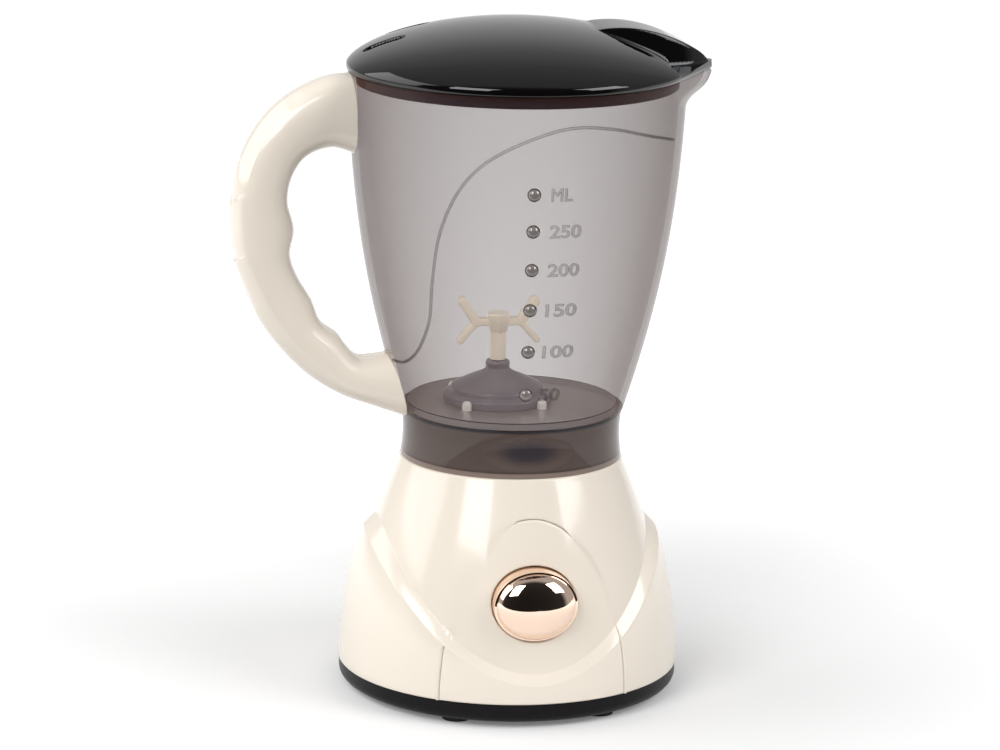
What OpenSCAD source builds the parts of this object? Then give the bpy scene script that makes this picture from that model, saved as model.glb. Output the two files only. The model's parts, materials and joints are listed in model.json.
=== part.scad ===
// Toy blender: base with a push button, lift-off jug with an agitator, lift-off lid.
// Millimetres, +Z up. The origin is on the table, under the centre of the round base.
// The button faces -Y, the handle points to -X and the spout to +X.

/* [Base] */
// Radius of the base where the housing meets the bottom plate
base_r = 48.5; // [47:0.5:51]
// Height of the cream housing, from the bottom plate to the deck
housing_h = 60; // [58:0.5:64]
// Radius of the housing at its deck, where the jug sits
deck_r = 31.5; // [31:0.5:34]
// Wall of the housing and the front panel
housing_wall = 2.2; // [1.8:0.1:2.6]
// How far the wavy skirt stands proud of the housing
skirt_proud = 2; // [1.4:0.1:2.6]
// Height of the skirt's edge at the sides, above the bottom plate
skirt_peak = 43.3; // [40:0.5:46]
// Height of the skirt's edge at the front and the back, above the bottom plate
skirt_dip = 8.4; // [6:0.2:12]
// Height of the bevel along the skirt's edge
skirt_bevel = 3.4; // [2:0.2:4.4]
// Half the width of the arched front panel at its foot
panel_half_w = 26.4; // [24:0.2:28]
// Height of the arched front panel
panel_h = 49.8; // [47:0.2:52]
// Width of the seam around the front panel
panel_seam = 0.12; // [0.08:0.02:0.3]

/* [Bottom plate] */
// Height of the black bottom plate
plate_h = 5.5; // [5:0.1:7]
// Thickness of its floor
plate_floor = 2.2; // [1.8:0.1:2.6]
// Radius of its rounded lower edge
plate_round = 3; // [1.5:0.5:4]
// How far the rubber feet stand out below the plate
foot_h = 1.5; // [1:0.1:2.5]
// Radius of a rubber foot
foot_r = 4; // [3:0.5:4.5]
// Distance of the feet's centres from the edge of the base
foot_inset = 8; // [7:0.5:10]

/* [Batteries] */
// Length of an AA cell, with its nub
cell_len = 50.5; // [49.5:0.1:51]
// Radius of an AA cell
cell_r = 7.25; // [6.9:0.05:7.4]
// Room for the coil contact at the negative end
contact_gap = 4.5; // [4:0.1:6]
// Wall of the battery box
box_wall = 2; // [1.6:0.1:2.4]

/* [Button] */
// Half the width of the oval button opening
hole_half_w = 12.1; // [11:0.1:12.5]
// Half the height of the oval button opening
hole_half_h = 10.3; // [9.5:0.1:10.8]
// Height of the button's centre above the bottom plate
button_z = 27.4; // [26:0.2:29]
// Distance of the dome's rim in front of the blender's axis
button_rim = 45.5; // [44.5:0.5:47]
// Height of the button's dome
button_dome = 4.5; // [3:0.5:5.5]
// How far the button can be pushed
button_travel = 2.5; // [1.5:0.1:2.8]
// Gap between the button and its sleeve
button_gap = 0.35; // [0.2:0.05:0.5]

/* [Drive] */
// Distance of the agitator's axis from the jug's axis, towards the handle
drive_offset = 4.2; // [3:0.2:5]
// Gear module
gear_module = 0.8; // [0.78:0.01:0.82]
// Teeth of the motor pinion
pinion_teeth = 12; // [12:1:13]
// Teeth of the large gear
gear_teeth = 34; // [32:1:34]
// Radius of the drive shaft
shaft_r = 2; // [1.6:0.1:2.4]
// Radius of the dog couplings
coupling_r = 7; // [6:0.5:8]
// Radial running clearance of shafts in their bearings
running = 0.05; // [0.03:0.01:0.08]

/* [Jug] */
// Outer radius of the jug at its floor
jug_foot_r = 31.6; // [31.2:0.1:33]
// Outer radius of the jug at its mouth
jug_mouth_r = 47.4; // [46:0.2:49]
// Height of the collar under the jug's floor line
collar_h = 13.8; // [13.5:0.1:15]
// Height from the floor line to the mouth
jug_h = 95.8; // [92:0.2:104]
// Wall of the jug
jug_wall = 2; // [1.6:0.1:2.2]
// Thickness of the floor disc
floor_t = 2; // [1.6:0.1:2.4]
// Reach of the spout's lip from the jug's axis
spout_reach = 55.3; // [53:0.2:58]
// Depth of the oval thumb hollow in the collar
hollow_depth = 1.4; // [0.8:0.1:1.6]
// Height between the two lowest measuring marks
mark_step = 12.9; // [11:0.1:13.5]
// How much lower each step is than the one below it, as the jug grows wider
mark_shrink = 0.65; // [0:0.05:1]
// Radius of a measuring bump
mark_r = 1.8; // [1.2:0.1:2.2]

/* [Handle] */
// Half the thickness of the handle, front to back
handle_half_d = 9; // [8:0.2:10]
// Wall of the hollow handle
handle_wall = 2; // [1.6:0.1:2.4]
// How far the handle stands out beyond the drawn grip curve
handle_shift = 0; // [0:0.5:4]

/* [Agitator] */
// Radius of the seat's flange on the jug's floor
seat_r = 15.3; // [14:0.1:16]
// Height of the seat, from the floor disc to the top of its neck
seat_h = 11.6; // [11:0.2:14]
// Radius of the cream tube
tube_r = 2.15; // [2.1:0.05:2.6]
// Radius of the steel spindle
spindle_r = 1.2; // [1:0.1:1.4]
// Height of the prongs' level above the seat
agitator_h = 11; // [10:0.5:14]
// Reach of the prongs from the agitator's axis
prong_reach = 11.5; // [10:0.5:13]

/* [Lid] */
// Height of the lid's dome above its widest line
dome_h = 12.7; // [11:0.1:15]
// How far the lid's edge stands out beyond the jug's mouth
lid_overhang = 0.5; // [0.3:0.1:1]
// Thickness of the lid
lid_t = 2.2; // [1.8:0.1:2.4]
// How far the plug ring reaches into the mouth
plug_depth = 3.4; // [2.5:0.1:5]

/* [Hidden] */
$fn = 64;
// Overshoot of cutters, and gap between pieces of one body that touch
over = 1;
touch = 0.05;
// Gap between pieces that rest on each other but come apart
rest_gap = 0.2;

// Levels
plate_top = foot_h + plate_h;
deck_z = plate_top + housing_h;
deck_t = 2.2;
collar_z = deck_z + rest_gap;
floor_line = collar_z + collar_h;
floor_top = floor_line + 1.6;
mouth_z = floor_line + jug_h;
lid_z = mouth_z + rest_gap;
button_axis_z = plate_top + button_z;
axis_x = -drive_offset;

// ---- curves -------------------------------------------------------------------------------
function bezier(p, t) =
    pow(1 - t, 3) * p[0] + 3 * pow(1 - t, 2) * t * p[1] + 3 * (1 - t) * t * t * p[2] + pow(t, 3) * p[3];
function curve(p, n) = [for (i = [0 : n]) bezier(p, i / n)];
function reversed(list) = [for (i = [len(list) - 1 : -1 : 0]) list[i]];
function narrowed(points, dr) = [for (p = points) [p.x - dr, p.y]];
function below(points, z) = [for (p = points) if (p.y < z) p];
function above(points, z) = [for (p = points) if (p.y > z) p];
function radius_at(points, z) = lookup(z, [for (p = points) [p.y, p.x]]);

// Smooth curve through control points, steps points per stretch
function spline_point(a, b, c, d, t) =
    0.5 * (2 * b + (c - a) * t + (2 * a - 5 * b + 4 * c - d) * t * t
    + (3 * b - a - 3 * c + d) * t * t * t);
function spline(p, steps) = [
    for (i = [0 : len(p) - 2], s = [0 : steps - 1])
        spline_point(p[max(i - 1, 0)], p[i], p[i + 1], p[min(i + 2, len(p) - 1)], s / steps),
    p[len(p) - 1]
];

// Oval outline
function oval(half_w, half_h, n = 48) =
    [for (i = [0 : n - 1]) [half_w * cos(360 * i / n), half_h * sin(360 * i / n)]];

// Closed body through rings of equal length; rings run anticlockwise seen from the last one
module loft(rings) {
    m = len(rings[0]);
    n = len(rings);
    points = [for (ring = rings, p = ring) p];
    sides = [
        for (k = [0 : n - 2], i = [0 : m - 1])
            let (a = k * m + i, b = k * m + (i + 1) % m)
                each [[a, a + m, b], [b, a + m, b + m]]
    ];
    first = [for (i = [0 : m - 1]) i];
    last = [for (i = [m - 1 : -1 : 0]) (n - 1) * m + i];
    polyhedron(points, concat(sides, [first], [last]), convexity = 6);
}

// Cylinder along -Y, starting at y
module rod_y(r, y, length) {
    translate([0, y, 0]) rotate([90, 0, 0]) cylinder(r = r, h = length);
}

// ---- base ---------------------------------------------------------------------------------
cone_foot_r = base_r - skirt_proud;
cone_curve = curve([
    [cone_foot_r, plate_top],
    [cone_foot_r + 0.8, plate_top + 0.36 * housing_h],
    [deck_r + 8.4, plate_top + 0.66 * housing_h],
    [deck_r, deck_z]
], 18);
peak_z = plate_top + skirt_peak;
skirt_tip_r = radius_at(cone_curve, peak_z) + 0.8;
skirt_curve = curve([
    [base_r, plate_top],
    [base_r + 0.5, plate_top + 0.28 * skirt_peak],
    [skirt_tip_r + 5.5, plate_top + 0.91 * skirt_peak],
    [skirt_tip_r, peak_z]
], 14);
// The skirt's root reaches this far into the housing's wall
root = 1;

// Height of the skirt's edge at an angle from the front
function wave_z(a) = plate_top + skirt_dip
    + (skirt_peak - skirt_dip) * (pow(sin(a), 2) + 0.04 * pow(sin(2 * a), 2));

// Closed ring that cuts the skirt along its wavy bevelled edge
module wave_cutter(step = 6) {
    rim_r = base_r + 5;
    rim_z = peak_z + 5;
    rim_in = radius_at(cone_curve, rim_z) - root;
    sections = [
        for (a = [0 : step : 360 - step])
            let (
                up = [radius_at(cone_curve, wave_z(a)), wave_z(a)],
                lo = [radius_at(skirt_curve, up.y - skirt_bevel), up.y - skirt_bevel],
                slope = up - lo,
                inner = up + slope * (0.9 * root / (lo.x - up.x)),
                outer = lo - slope
            )
            [for (p = [inner, outer, [rim_r, outer.y], [rim_r, rim_z], [rim_in, rim_z]])
                [p.x * sin(a), -p.x * cos(a), p.y]]
    ];
    n = len(sections);
    m = 5;
    points = [for (s = sections, p = s) p];
    faces = [
        for (k = [0 : n - 1], i = [0 : m - 1])
            let (j = (i + 1) % m, next = (k + 1) % n * m, a = k * m + i, b = k * m + j, c = next + i, d = next + j)
                each [[a, b, c], [b, d, c]]
    ];
    polyhedron(points, faces, convexity = 8);
}

// Outside of the housing and its skirt, filled
module housing_outside() {
    rotate_extrude() polygon(concat([[0, plate_top]], cone_curve, [[0, deck_z]]));
    difference() {
        rotate_extrude() polygon(concat(
            skirt_curve,
            [[radius_at(cone_curve, peak_z) - root, peak_z]],
            reversed(narrowed(below(cone_curve, peak_z - 1), root))
        ));
        wave_cutter();
    }
}

// Hollow inside of the housing
module housing_inside() {
    roof_z = deck_z - deck_t;
    roof_r = radius_at(cone_curve, roof_z) - housing_wall;
    rotate_extrude() polygon(concat(
        [[0, plate_top - over], [cone_foot_r - housing_wall, plate_top - over]],
        narrowed(below(cone_curve, roof_z - 0.5), housing_wall),
        [[roof_r, roof_z], [0, roof_z]]
    ));
}

// Arched prism through the front of the housing
module arch(inset, depth = base_r + over) {
    n = 48;
    outline = [for (i = [0 : n]) [
        (panel_half_w - inset) * cos(180 * i / n),
        plate_top + (panel_h - inset) * sin(180 * i / n)
    ]];
    rotate([90, 0, 0]) linear_extrude(height = depth)
        polygon(concat(outline, [for (side = [-1, 1]) [side * (panel_half_w - inset), plate_top - over]]));
}

// Screws that join the plate to the housing
screw_r = 1.2;
screw_gap = 0.05;
housing_screw_az = 50;
post_r = 3.4;
post_top = plate_top + 3;
boss_h = 26;
// Half way between the housing's radii at its foot and at the bosses' top, so that the bosses
// meet its wall and the posts stay inside it
housing_screw_r = (cone_foot_r + radius_at(cone_curve, post_top + boss_h)) / 2 - housing_wall - post_r - 0.2;
module at_housing_screws() {
    for (a = [housing_screw_az, 180 - housing_screw_az, 180 + housing_screw_az, 360 - housing_screw_az])
        rotate([0, 0, a]) translate([0, -housing_screw_r, 0]) children();
}

// Screws that join the gearbox plate to the deck
gearbox_boss_r = 2.8;
gearbox_boss_at = [[0, 25], [0, -25], [-25, 0]];
module at_gearbox_screws() {
    for (p = gearbox_boss_at) translate([p.x, p.y, 0]) children();
}

// Gearbox plate and gears
gearbox_t = 2.5;
gearbox_plate_r = 29;
gearbox_top = deck_z - 12;
gear_z = gearbox_top + 2.2;
gear_t = 4;
bushing_r = 4.2;
spigot_r = jug_foot_r - 3.9;
spigot_h = 4;

module base_housing() {
    color("antiquewhite") {
        difference() {
            housing_outside();
            housing_inside();
            arch(0);
            translate([axis_x, 0, deck_z - deck_t - over])
                cylinder(r = bushing_r + touch, h = deck_t + 2 * over);
        }
        // Ring on the deck that locates the jug's collar
        translate([0, 0, deck_z]) difference() {
            cylinder(r = spigot_r, h = spigot_h);
            translate([0, 0, -over]) cylinder(r = spigot_r - 1.8, h = spigot_h + 2 * over);
        }
        // Bosses for the screws from below, trimmed by the housing's wall
        difference() {
            intersection() {
                at_housing_screws() translate([0, 0, post_top + touch]) cylinder(r = post_r, h = boss_h);
                rotate_extrude() polygon(concat(
                    [[0, plate_top]], narrowed(cone_curve, housing_wall / 2), [[0, deck_z]]));
            }
            at_housing_screws() translate([0, 0, plate_top]) cylinder(r = screw_r + screw_gap, h = 18);
        }
        // Bosses under the deck for the gearbox plate
        difference() {
            at_gearbox_screws() translate([0, 0, gearbox_top + touch])
                cylinder(r = gearbox_boss_r, h = deck_z - deck_t / 2 - gearbox_top - touch);
            at_gearbox_screws() translate([0, 0, gearbox_top - over]) cylinder(r = screw_r + screw_gap, h = 9);
        }
    }
}

// Button sleeve
sleeve_wall = 1.6;
sleeve_end = base_r - skirt_proud - 11.5;
flange_t = 1.5;
flange_y = sleeve_end - 0.3;

module front_panel() {
    color("antiquewhite") difference() {
        union() {
            intersection() {
                difference() {
                    housing_outside();
                    housing_inside();
                }
                arch(panel_seam);
            }
            // Sleeve that guides the button
            intersection() {
                translate([0, -sleeve_end, button_axis_z]) rotate([90, 0, 0]) linear_extrude(height = 20)
                    polygon(oval(hole_half_w + sleeve_wall, hole_half_h + sleeve_wall));
                rotate_extrude() polygon(concat(
                    [[0, plate_top]], narrowed(cone_curve, housing_wall / 2), [[0, deck_z]]));
            }
        }
        translate([0, -sleeve_end + over, button_axis_z]) rotate([90, 0, 0]) linear_extrude(height = 30)
            polygon(oval(hole_half_w, hole_half_h));
    }
}

// Battery box
cell_z = foot_h + plate_floor + 0.3 + cell_r;
cell_y = cell_r + 0.35;
contact_t = 0.5;
box_half_l = (cell_len + contact_gap) / 2 + contact_t;
box_half_w = cell_y + cell_r + 0.3;
box_top = cell_z + cell_r + 0.4;
door_ledge = 1;
door_gap = 0.2;
tab_half_w = 4.8;
tab_x = box_half_l + box_wall + 3;
tab_end = tab_x + 3.4;
lip_r = cone_foot_r - housing_wall - 0.3;
door_screw_boss_h = 10;

// Door outline, widened by gap
module door_outline(gap) {
    half_l = box_half_l + door_ledge - door_gap + gap;
    half_w = box_half_w + door_ledge - door_gap + gap;
    translate([-half_l, -half_w]) square([2 * half_l, 2 * half_w]);
    translate([0, -tab_half_w - gap]) square([tab_end + gap, 2 * (tab_half_w + gap)]);
}

module at_feet() {
    for (a = [30, 150, 210, 330]) rotate([0, 0, a]) translate([0, -foot_circle_r, 0]) children();
}

foot_circle_r = base_r - foot_inset;
foot_stub_r = foot_r - 1;
foot_stub_h = 1.1;

module base_plate() {
    color([0.06, 0.06, 0.07]) difference() {
        union() {
            rotate_extrude() polygon(concat(
                [[0, foot_h]],
                [for (a = [-90 : 7.5 : 0]) [
                    base_r - 0.2 - plate_round + plate_round * cos(a),
                    foot_h + plate_round + plate_round * sin(a)
                ]],
                [[base_r - 0.2, plate_top], [lip_r, plate_top], [lip_r, plate_top + 3],
                 [lip_r - 1.8, plate_top + 3], [lip_r - 1.8, foot_h + plate_floor], [0, foot_h + plate_floor]]
            ));
            // Battery box
            translate([-box_half_l - box_wall, -box_half_w - box_wall, foot_h])
                cube([2 * (box_half_l + box_wall), 2 * (box_half_w + box_wall), box_top + box_wall - foot_h]);
            // Boss for the door's screw
            translate([tab_x, 0, foot_h]) cylinder(r = 3.6, h = plate_floor + door_screw_boss_h);
            // Posts for the housing's screws
            at_housing_screws() translate([0, 0, foot_h]) cylinder(r = post_r, h = post_top - foot_h);
        }
        translate([-box_half_l, -box_half_w, 0]) cube([2 * box_half_l, 2 * box_half_w, box_top]);
        linear_extrude(height = foot_h + plate_floor) door_outline(door_gap);
        translate([tab_x, 0, 0])
            cylinder(r = screw_r + screw_gap, h = foot_h + plate_floor + door_screw_boss_h - 1.5);
        at_housing_screws() {
            cylinder(r = 2.6, h = post_top - 4);
            cylinder(r = screw_r + 0.3, h = post_top + over);
        }
        at_feet() cylinder(r = foot_stub_r + touch, h = foot_h + foot_stub_h + touch);
    }
}

module rubber_feet() {
    color([0.1, 0.1, 0.1]) at_feet() {
        cylinder(r = foot_r, h = foot_h);
        cylinder(r = foot_stub_r, h = foot_h + foot_stub_h);
    }
}

// Screw with its head down: z is the underside of the head's seat
module screw(z, length, head_r = 2.3, head_h = 1.2) {
    difference() {
        union() {
            translate([0, 0, z - head_h]) cylinder(r = head_r, h = head_h);
            translate([0, 0, z - head_h / 2]) cylinder(r = screw_r, h = length + head_h / 2);
        }
        for (a = [0, 90]) rotate([0, 0, a]) translate([-1.3, -0.25, z - head_h - 0.1]) cube([2.6, 0.5, 0.6]);
    }
}

module housing_screws() {
    color("silver") at_housing_screws() screw(post_top - 4, 16);
}

module battery_door() {
    color([0.06, 0.06, 0.07]) difference() {
        translate([0, 0, foot_h]) linear_extrude(height = plate_floor - touch) door_outline(0);
        translate([tab_x, 0, 0]) {
            cylinder(r = screw_r + 0.3, h = 10);
            cylinder(r = 2.5, h = foot_h + 1.3);
        }
        // Finger grooves
        for (x = [-22 : 3 : -10]) translate([x, -7, foot_h - over]) cube([1.2, 14, over + 0.5]);
    }
}

module battery_door_screw() {
    color("silver") translate([tab_x, 0, 0]) screw(foot_h + 1.3, 8.5, 2.3, 1.1);
}

nub_len = 1;
// One cell along X with its nub to -X; side -1 turns it round
module at_cell(side) {
    translate([0, side * cell_y, cell_z]) rotate([0, 0, side > 0 ? 180 : 0]) children();
}
cell_start = contact_t + touch - box_half_l;

module aa_batteries() {
    color("darkseagreen") for (side = [-1, 1]) at_cell(side) rotate([0, 90, 0]) {
        translate([0, 0, cell_start + nub_len]) cylinder(r = cell_r, h = cell_len - nub_len);
        translate([0, 0, cell_start]) cylinder(r = 2.7, h = nub_len + 0.1);
    }
}

module battery_springs() {
    length = contact_gap - 4 * touch;
    color("silver") for (side = [-1, 1]) at_cell(side)
        translate([cell_start + cell_len + touch, 0, 0]) rotate([0, 90, 0]) difference() {
            cylinder(r = 3.6, h = length);
            translate([0, 0, -over]) cylinder(r = 2.9, h = length + 2 * over);
        }
}

module battery_contacts() {
    color("silver") for (side = [-1, 1])
        translate([side > 0 ? box_half_l - contact_t : -box_half_l, 0.5 - box_half_w, cell_z - cell_r + 1])
            cube([contact_t, 2 * box_half_w - 1, 2 * cell_r - 2]);
}

// ---- drive --------------------------------------------------------------------------------
gear_pitch_r = gear_module * gear_teeth / 2;
pinion_pitch_r = gear_module * pinion_teeth / 2;
motor_x = axis_x + gear_pitch_r + pinion_pitch_r;
motor_r = 10.05;
motor_flats = 15.1;
motor_len = 25;
motor_top = gearbox_top - gearbox_t - touch;
motor_boss_r = 3.1;
motor_boss_h = 1.6;
motor_shaft_r = 1;
motor_screw_at = 6.2;
motor_screw_r = 0.9;
gear_hub_r = 4.5;

// Involute gear outline
pressure = 20;
backlash = 0.12;
function involute(base, r) = let (t = sqrt(max(pow(r / base, 2) - 1, 0))) t * 180 / PI - atan(t);
function gear_outline(teeth) =
    let (
        pitch = gear_module * teeth / 2,
        base = pitch * cos(pressure),
        root_r = pitch - 1.2 * gear_module,
        tip_r = pitch + 0.85 * gear_module,
        half = 90 / teeth * (1 - backlash) + involute(base, pitch),
        levels = [for (i = [0 : 4]) root_r + (tip_r - root_r) * i / 4]
    )
    [for (k = [0 : teeth - 1], side = [-1, 1], r = side < 0 ? levels : reversed(levels))
        let (a = 360 * k / teeth + side * (half - involute(base, max(r, base))))
            [r * cos(a), r * sin(a)]];

module motor_can() {
    color("silver") translate([motor_x, 0, 0]) difference() {
        union() {
            intersection() {
                translate([0, 0, motor_top - motor_len]) cylinder(r = motor_r, h = motor_len);
                translate([-motor_r, -motor_flats / 2, motor_top - motor_len])
                    cube([2 * motor_r, motor_flats, motor_len]);
            }
            translate([0, 0, motor_top - over]) cylinder(r = motor_boss_r, h = motor_boss_h + over);
        }
        translate([0, 0, motor_top - 12]) cylinder(r = motor_shaft_r + running, h = 20);
        for (y = [-1, 1]) translate([0, y * motor_screw_at, motor_top - 3])
            cylinder(r = motor_screw_r + screw_gap, h = 3 + over);
    }
}

module motor_screws() {
    color("silver") for (y = [-1, 1]) translate([motor_x, y * motor_screw_at, 0]) {
        translate([0, 0, motor_top - 2.5]) cylinder(r = motor_screw_r, h = 2.5 + gearbox_t + 2 * touch);
        translate([0, 0, gearbox_top + touch]) cylinder(r = 1.6, h = 1);
    }
}

module motor_shaft() {
    color("silver") translate([motor_x, 0, motor_top - 11])
        cylinder(r = motor_shaft_r, h = gear_z + gear_t - motor_top + 12);
}

module motor_pinion() {
    color("ivory") translate([motor_x, 0, gear_z - 0.4]) difference() {
        rotate([0, 0, pinion_teeth % 2 == 0 ? 180 / pinion_teeth : 0])
            linear_extrude(height = gear_t + 0.8) polygon(gear_outline(pinion_teeth));
        translate([0, 0, -over]) cylinder(r = motor_shaft_r + touch / 2, h = gear_t + 2 + 2 * over);
    }
}

module gearbox_plate() {
    bearing_h = 6;
    color("gainsboro") difference() {
        union() {
            translate([0, 0, gearbox_top - gearbox_t]) cylinder(r = gearbox_plate_r, h = gearbox_t);
            translate([axis_x, 0, gearbox_top - gearbox_t - bearing_h + 1]) cylinder(r = 4.5, h = bearing_h);
        }
        translate([axis_x, 0, gearbox_top - 10]) cylinder(r = shaft_r + running, h = 12);
        translate([motor_x, 0, gearbox_top - 5]) cylinder(r = motor_boss_r + 0.1, h = 8);
        for (y = [-1, 1]) translate([motor_x, y * motor_screw_at, gearbox_top - 5])
            cylinder(r = motor_screw_r + 0.1, h = 8);
        at_gearbox_screws() translate([0, 0, gearbox_top - 5]) cylinder(r = screw_r + 0.2, h = 8);
    }
}

module gearbox_screws() {
    color("silver") at_gearbox_screws() screw(gearbox_top - gearbox_t - touch, 9);
}

module drive_gear() {
    hub_z = gearbox_top + 0.2;
    color("ivory") translate([axis_x, 0, 0]) difference() {
        union() {
            translate([0, 0, gear_z]) linear_extrude(height = gear_t) polygon(gear_outline(gear_teeth));
            translate([0, 0, hub_z]) cylinder(r = gear_hub_r, h = gear_z + gear_t + 1 - hub_z);
        }
        translate([0, 0, hub_z - over]) cylinder(r = shaft_r + touch / 2, h = 12);
        // Holes in the web
        for (a = [0 : 60 : 300]) rotate([0, 0, a]) translate([8.2, 0, gear_z - over])
            cylinder(r = 2, h = gear_t + 2 * over);
    }
}

coupling_base = deck_z + 1.3;
coupling_t = 3.7;
dog_h = 4;
dog_in = 3.4;
dog_half = 20;

// Three dogs around the axis, first one at angle turn
module dogs(turn, z, height) {
    for (k = [0 : 2]) rotate([0, 0, turn + 120 * k])
        translate([0, 0, z]) rotate([0, 0, -dog_half]) rotate_extrude(angle = 2 * dog_half)
            translate([dog_in, 0]) square([coupling_r - dog_in - 0.4, height]);
}

module drive_shaft() {
    start = gearbox_top - gearbox_t - 4.5;
    color("silver") translate([axis_x, 0, start])
        cylinder(r = shaft_r, h = coupling_base + coupling_t - 0.5 - start);
}

module deck_bushing() {
    color("goldenrod") translate([axis_x, 0, 0]) difference() {
        union() {
            translate([0, 0, deck_z - deck_t - 0.3]) cylinder(r = bushing_r, h = deck_t + 0.5);
            translate([0, 0, deck_z + touch]) cylinder(r = bushing_r + 1.3, h = 1 - touch);
        }
        translate([0, 0, deck_z - 10]) cylinder(r = shaft_r + running, h = 20);
    }
}

module drive_coupling() {
    color("dimgray") translate([axis_x, 0, 0]) {
        difference() {
            translate([0, 0, coupling_base]) cylinder(r = coupling_r, h = coupling_t);
            translate([0, 0, coupling_base - over]) cylinder(r = shaft_r + touch / 2, h = coupling_t - 0.4 + over);
        }
        dogs(0, coupling_base + coupling_t - 0.1, dog_h + 0.1);
    }
}

// ---- button and switch --------------------------------------------------------------------
stem_r = 3;
bracket_y = 20;
bracket_t = 2;
bracket_half_w = 10;
bracket_top = button_axis_z + 8;
stem_end = bracket_y - 1;
switch_front = 16;
switch_back = 9.5;
switch_half = 3.9;
plunger_r = 1.5;
cap_wall = 1.8;
cap_half_w = hole_half_w - button_gap;
cap_half_h = hole_half_h - button_gap;

// Oval ring at y, for the button's loft
function cap_ring(y, share) = [for (p = oval(cap_half_w * share, cap_half_h * share)) [p.x, -y, button_axis_z + p.y]];

module button_cap() {
    dome = [for (a = [0 : 12 : 84]) cap_ring(button_rim + button_dome * sin(a), cos(a))];
    color([0.85, 0.6, 0.5]) difference() {
        loft(concat([cap_ring(flange_y + touch, 1)], dome));
        // Hollow behind the dome
        translate([0, touch - flange_y + over, button_axis_z]) rotate([90, 0, 0])
            linear_extrude(height = button_rim - flange_y + over)
                polygon(oval(cap_half_w - cap_wall, cap_half_h - cap_wall));
    }
}

module button_stem() {
    color("white") {
        translate([0, flange_t - flange_y, button_axis_z]) rotate([90, 0, 0])
            linear_extrude(height = flange_t) polygon(oval(hole_half_w + 1.1, hole_half_h + 1.1));
        translate([0, 0, button_axis_z]) rod_y(stem_r, -stem_end, flange_y - flange_t - stem_end + 0.5);
    }
}

module switch_plunger() {
    color("black") translate([0, 0, button_axis_z])
        rod_y(plunger_r, -(switch_front - 3), stem_end - 0.3 - switch_front + 3);
}

module push_switch() {
    color("darkslategray") difference() {
        translate([-switch_half, -switch_front, button_axis_z - switch_half])
            cube([2 * switch_half, switch_front - switch_back, 2 * switch_half]);
        translate([0, 0, button_axis_z]) rod_y(plunger_r + running, -(switch_front - 6), 8);
    }
}

module switch_bracket() {
    arm_t = 1.6;
    foot_z = foot_h + plate_floor + touch;
    color("gainsboro") difference() {
        union() {
            translate([-bracket_half_w, -bracket_y - bracket_t, foot_z])
                cube([2 * bracket_half_w, bracket_t, bracket_top - foot_z]);
            for (side = [-1, 1])
                translate([side > 0 ? switch_half + touch : -switch_half - touch - arm_t,
                           -bracket_y - bracket_t / 2, button_axis_z - switch_half])
                    cube([arm_t, bracket_y + bracket_t / 2 - switch_back, 2 * switch_half]);
            // Foot on the bottom plate
            translate([-bracket_half_w, -bracket_y - bracket_t - 6, foot_z]) cube([2 * bracket_half_w, 7, 1.6]);
        }
        translate([0, 0, button_axis_z]) rod_y(stem_r + running, -bracket_y + over, bracket_t + 2 * over);
    }
}

module button_spring() {
    front = flange_y - flange_t - touch;
    back = bracket_y + bracket_t + touch;
    color("silver") difference() {
        translate([0, 0, button_axis_z]) rod_y(4.6, -back, front - back);
        translate([0, 0, button_axis_z]) rod_y(3.6, -back + over, front - back + 2 * over);
    }
}

// Wire through a list of points
module wire(points, r = 0.7) {
    for (i = [0 : len(points) - 2]) {
        d = points[i + 1] - points[i];
        flat = norm([d.x, d.y]);
        translate(points[i]) rotate([0, atan2(flat, d.z), atan2(d.y, d.x)])
            cylinder(r = r, h = norm(d), $fn = 10);
        // Blob at the bend
        if (i > 0) translate(points[i]) rotate([10, 20, 30])
            cylinder(r = 1.3 * r, h = 2.2 * r, center = true, $fn = 8);
    }
}

module wires() {
    box_roof = box_top + box_wall + touch;
    motor_floor = motor_top - motor_len - touch;
    color("firebrick") {
        wire([[-20, -8, box_roof], [-20, -8, box_roof + 8], [-9, -12, button_axis_z],
              [-switch_half - 1.7, -12, button_axis_z]]);
        wire([[20, 8, box_roof], [20, 8, box_roof + 2.5], [motor_x + 3, 2, motor_floor - 2],
              [motor_x + 3, 2, motor_floor]]);
        wire([[1, -switch_back + touch, button_axis_z], [1, -6, button_axis_z], [1, -6, motor_floor - 2.5],
              [motor_x - 3, -2, motor_floor - 2.5], [motor_x - 3, -2, motor_floor]]);
    }
}

// ---- jug ----------------------------------------------------------------------------------
collar_foot_r = deck_r;
collar_curve = curve([
    [collar_foot_r, collar_z],
    [collar_foot_r - 1, collar_z + 0.33 * collar_h],
    [jug_foot_r - 1, collar_z + 0.7 * collar_h],
    [jug_foot_r, floor_line]
], 6);
jug_curve = curve([
    [jug_foot_r, floor_line],
    [jug_foot_r + 10.5, floor_line + 0.34 * jug_h],
    [jug_mouth_r - 0.9, floor_line + 0.63 * jug_h],
    [jug_mouth_r, mouth_z]
], 16);
jug_outline = concat(collar_curve, above(jug_curve, floor_line));
collar_bore = spigot_r + 0.3;
floor_bottom = floor_top - floor_t;
floor_r = radius_at(jug_curve, floor_bottom) - jug_wall;
mouth_bore = jug_mouth_r - jug_wall;

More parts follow.
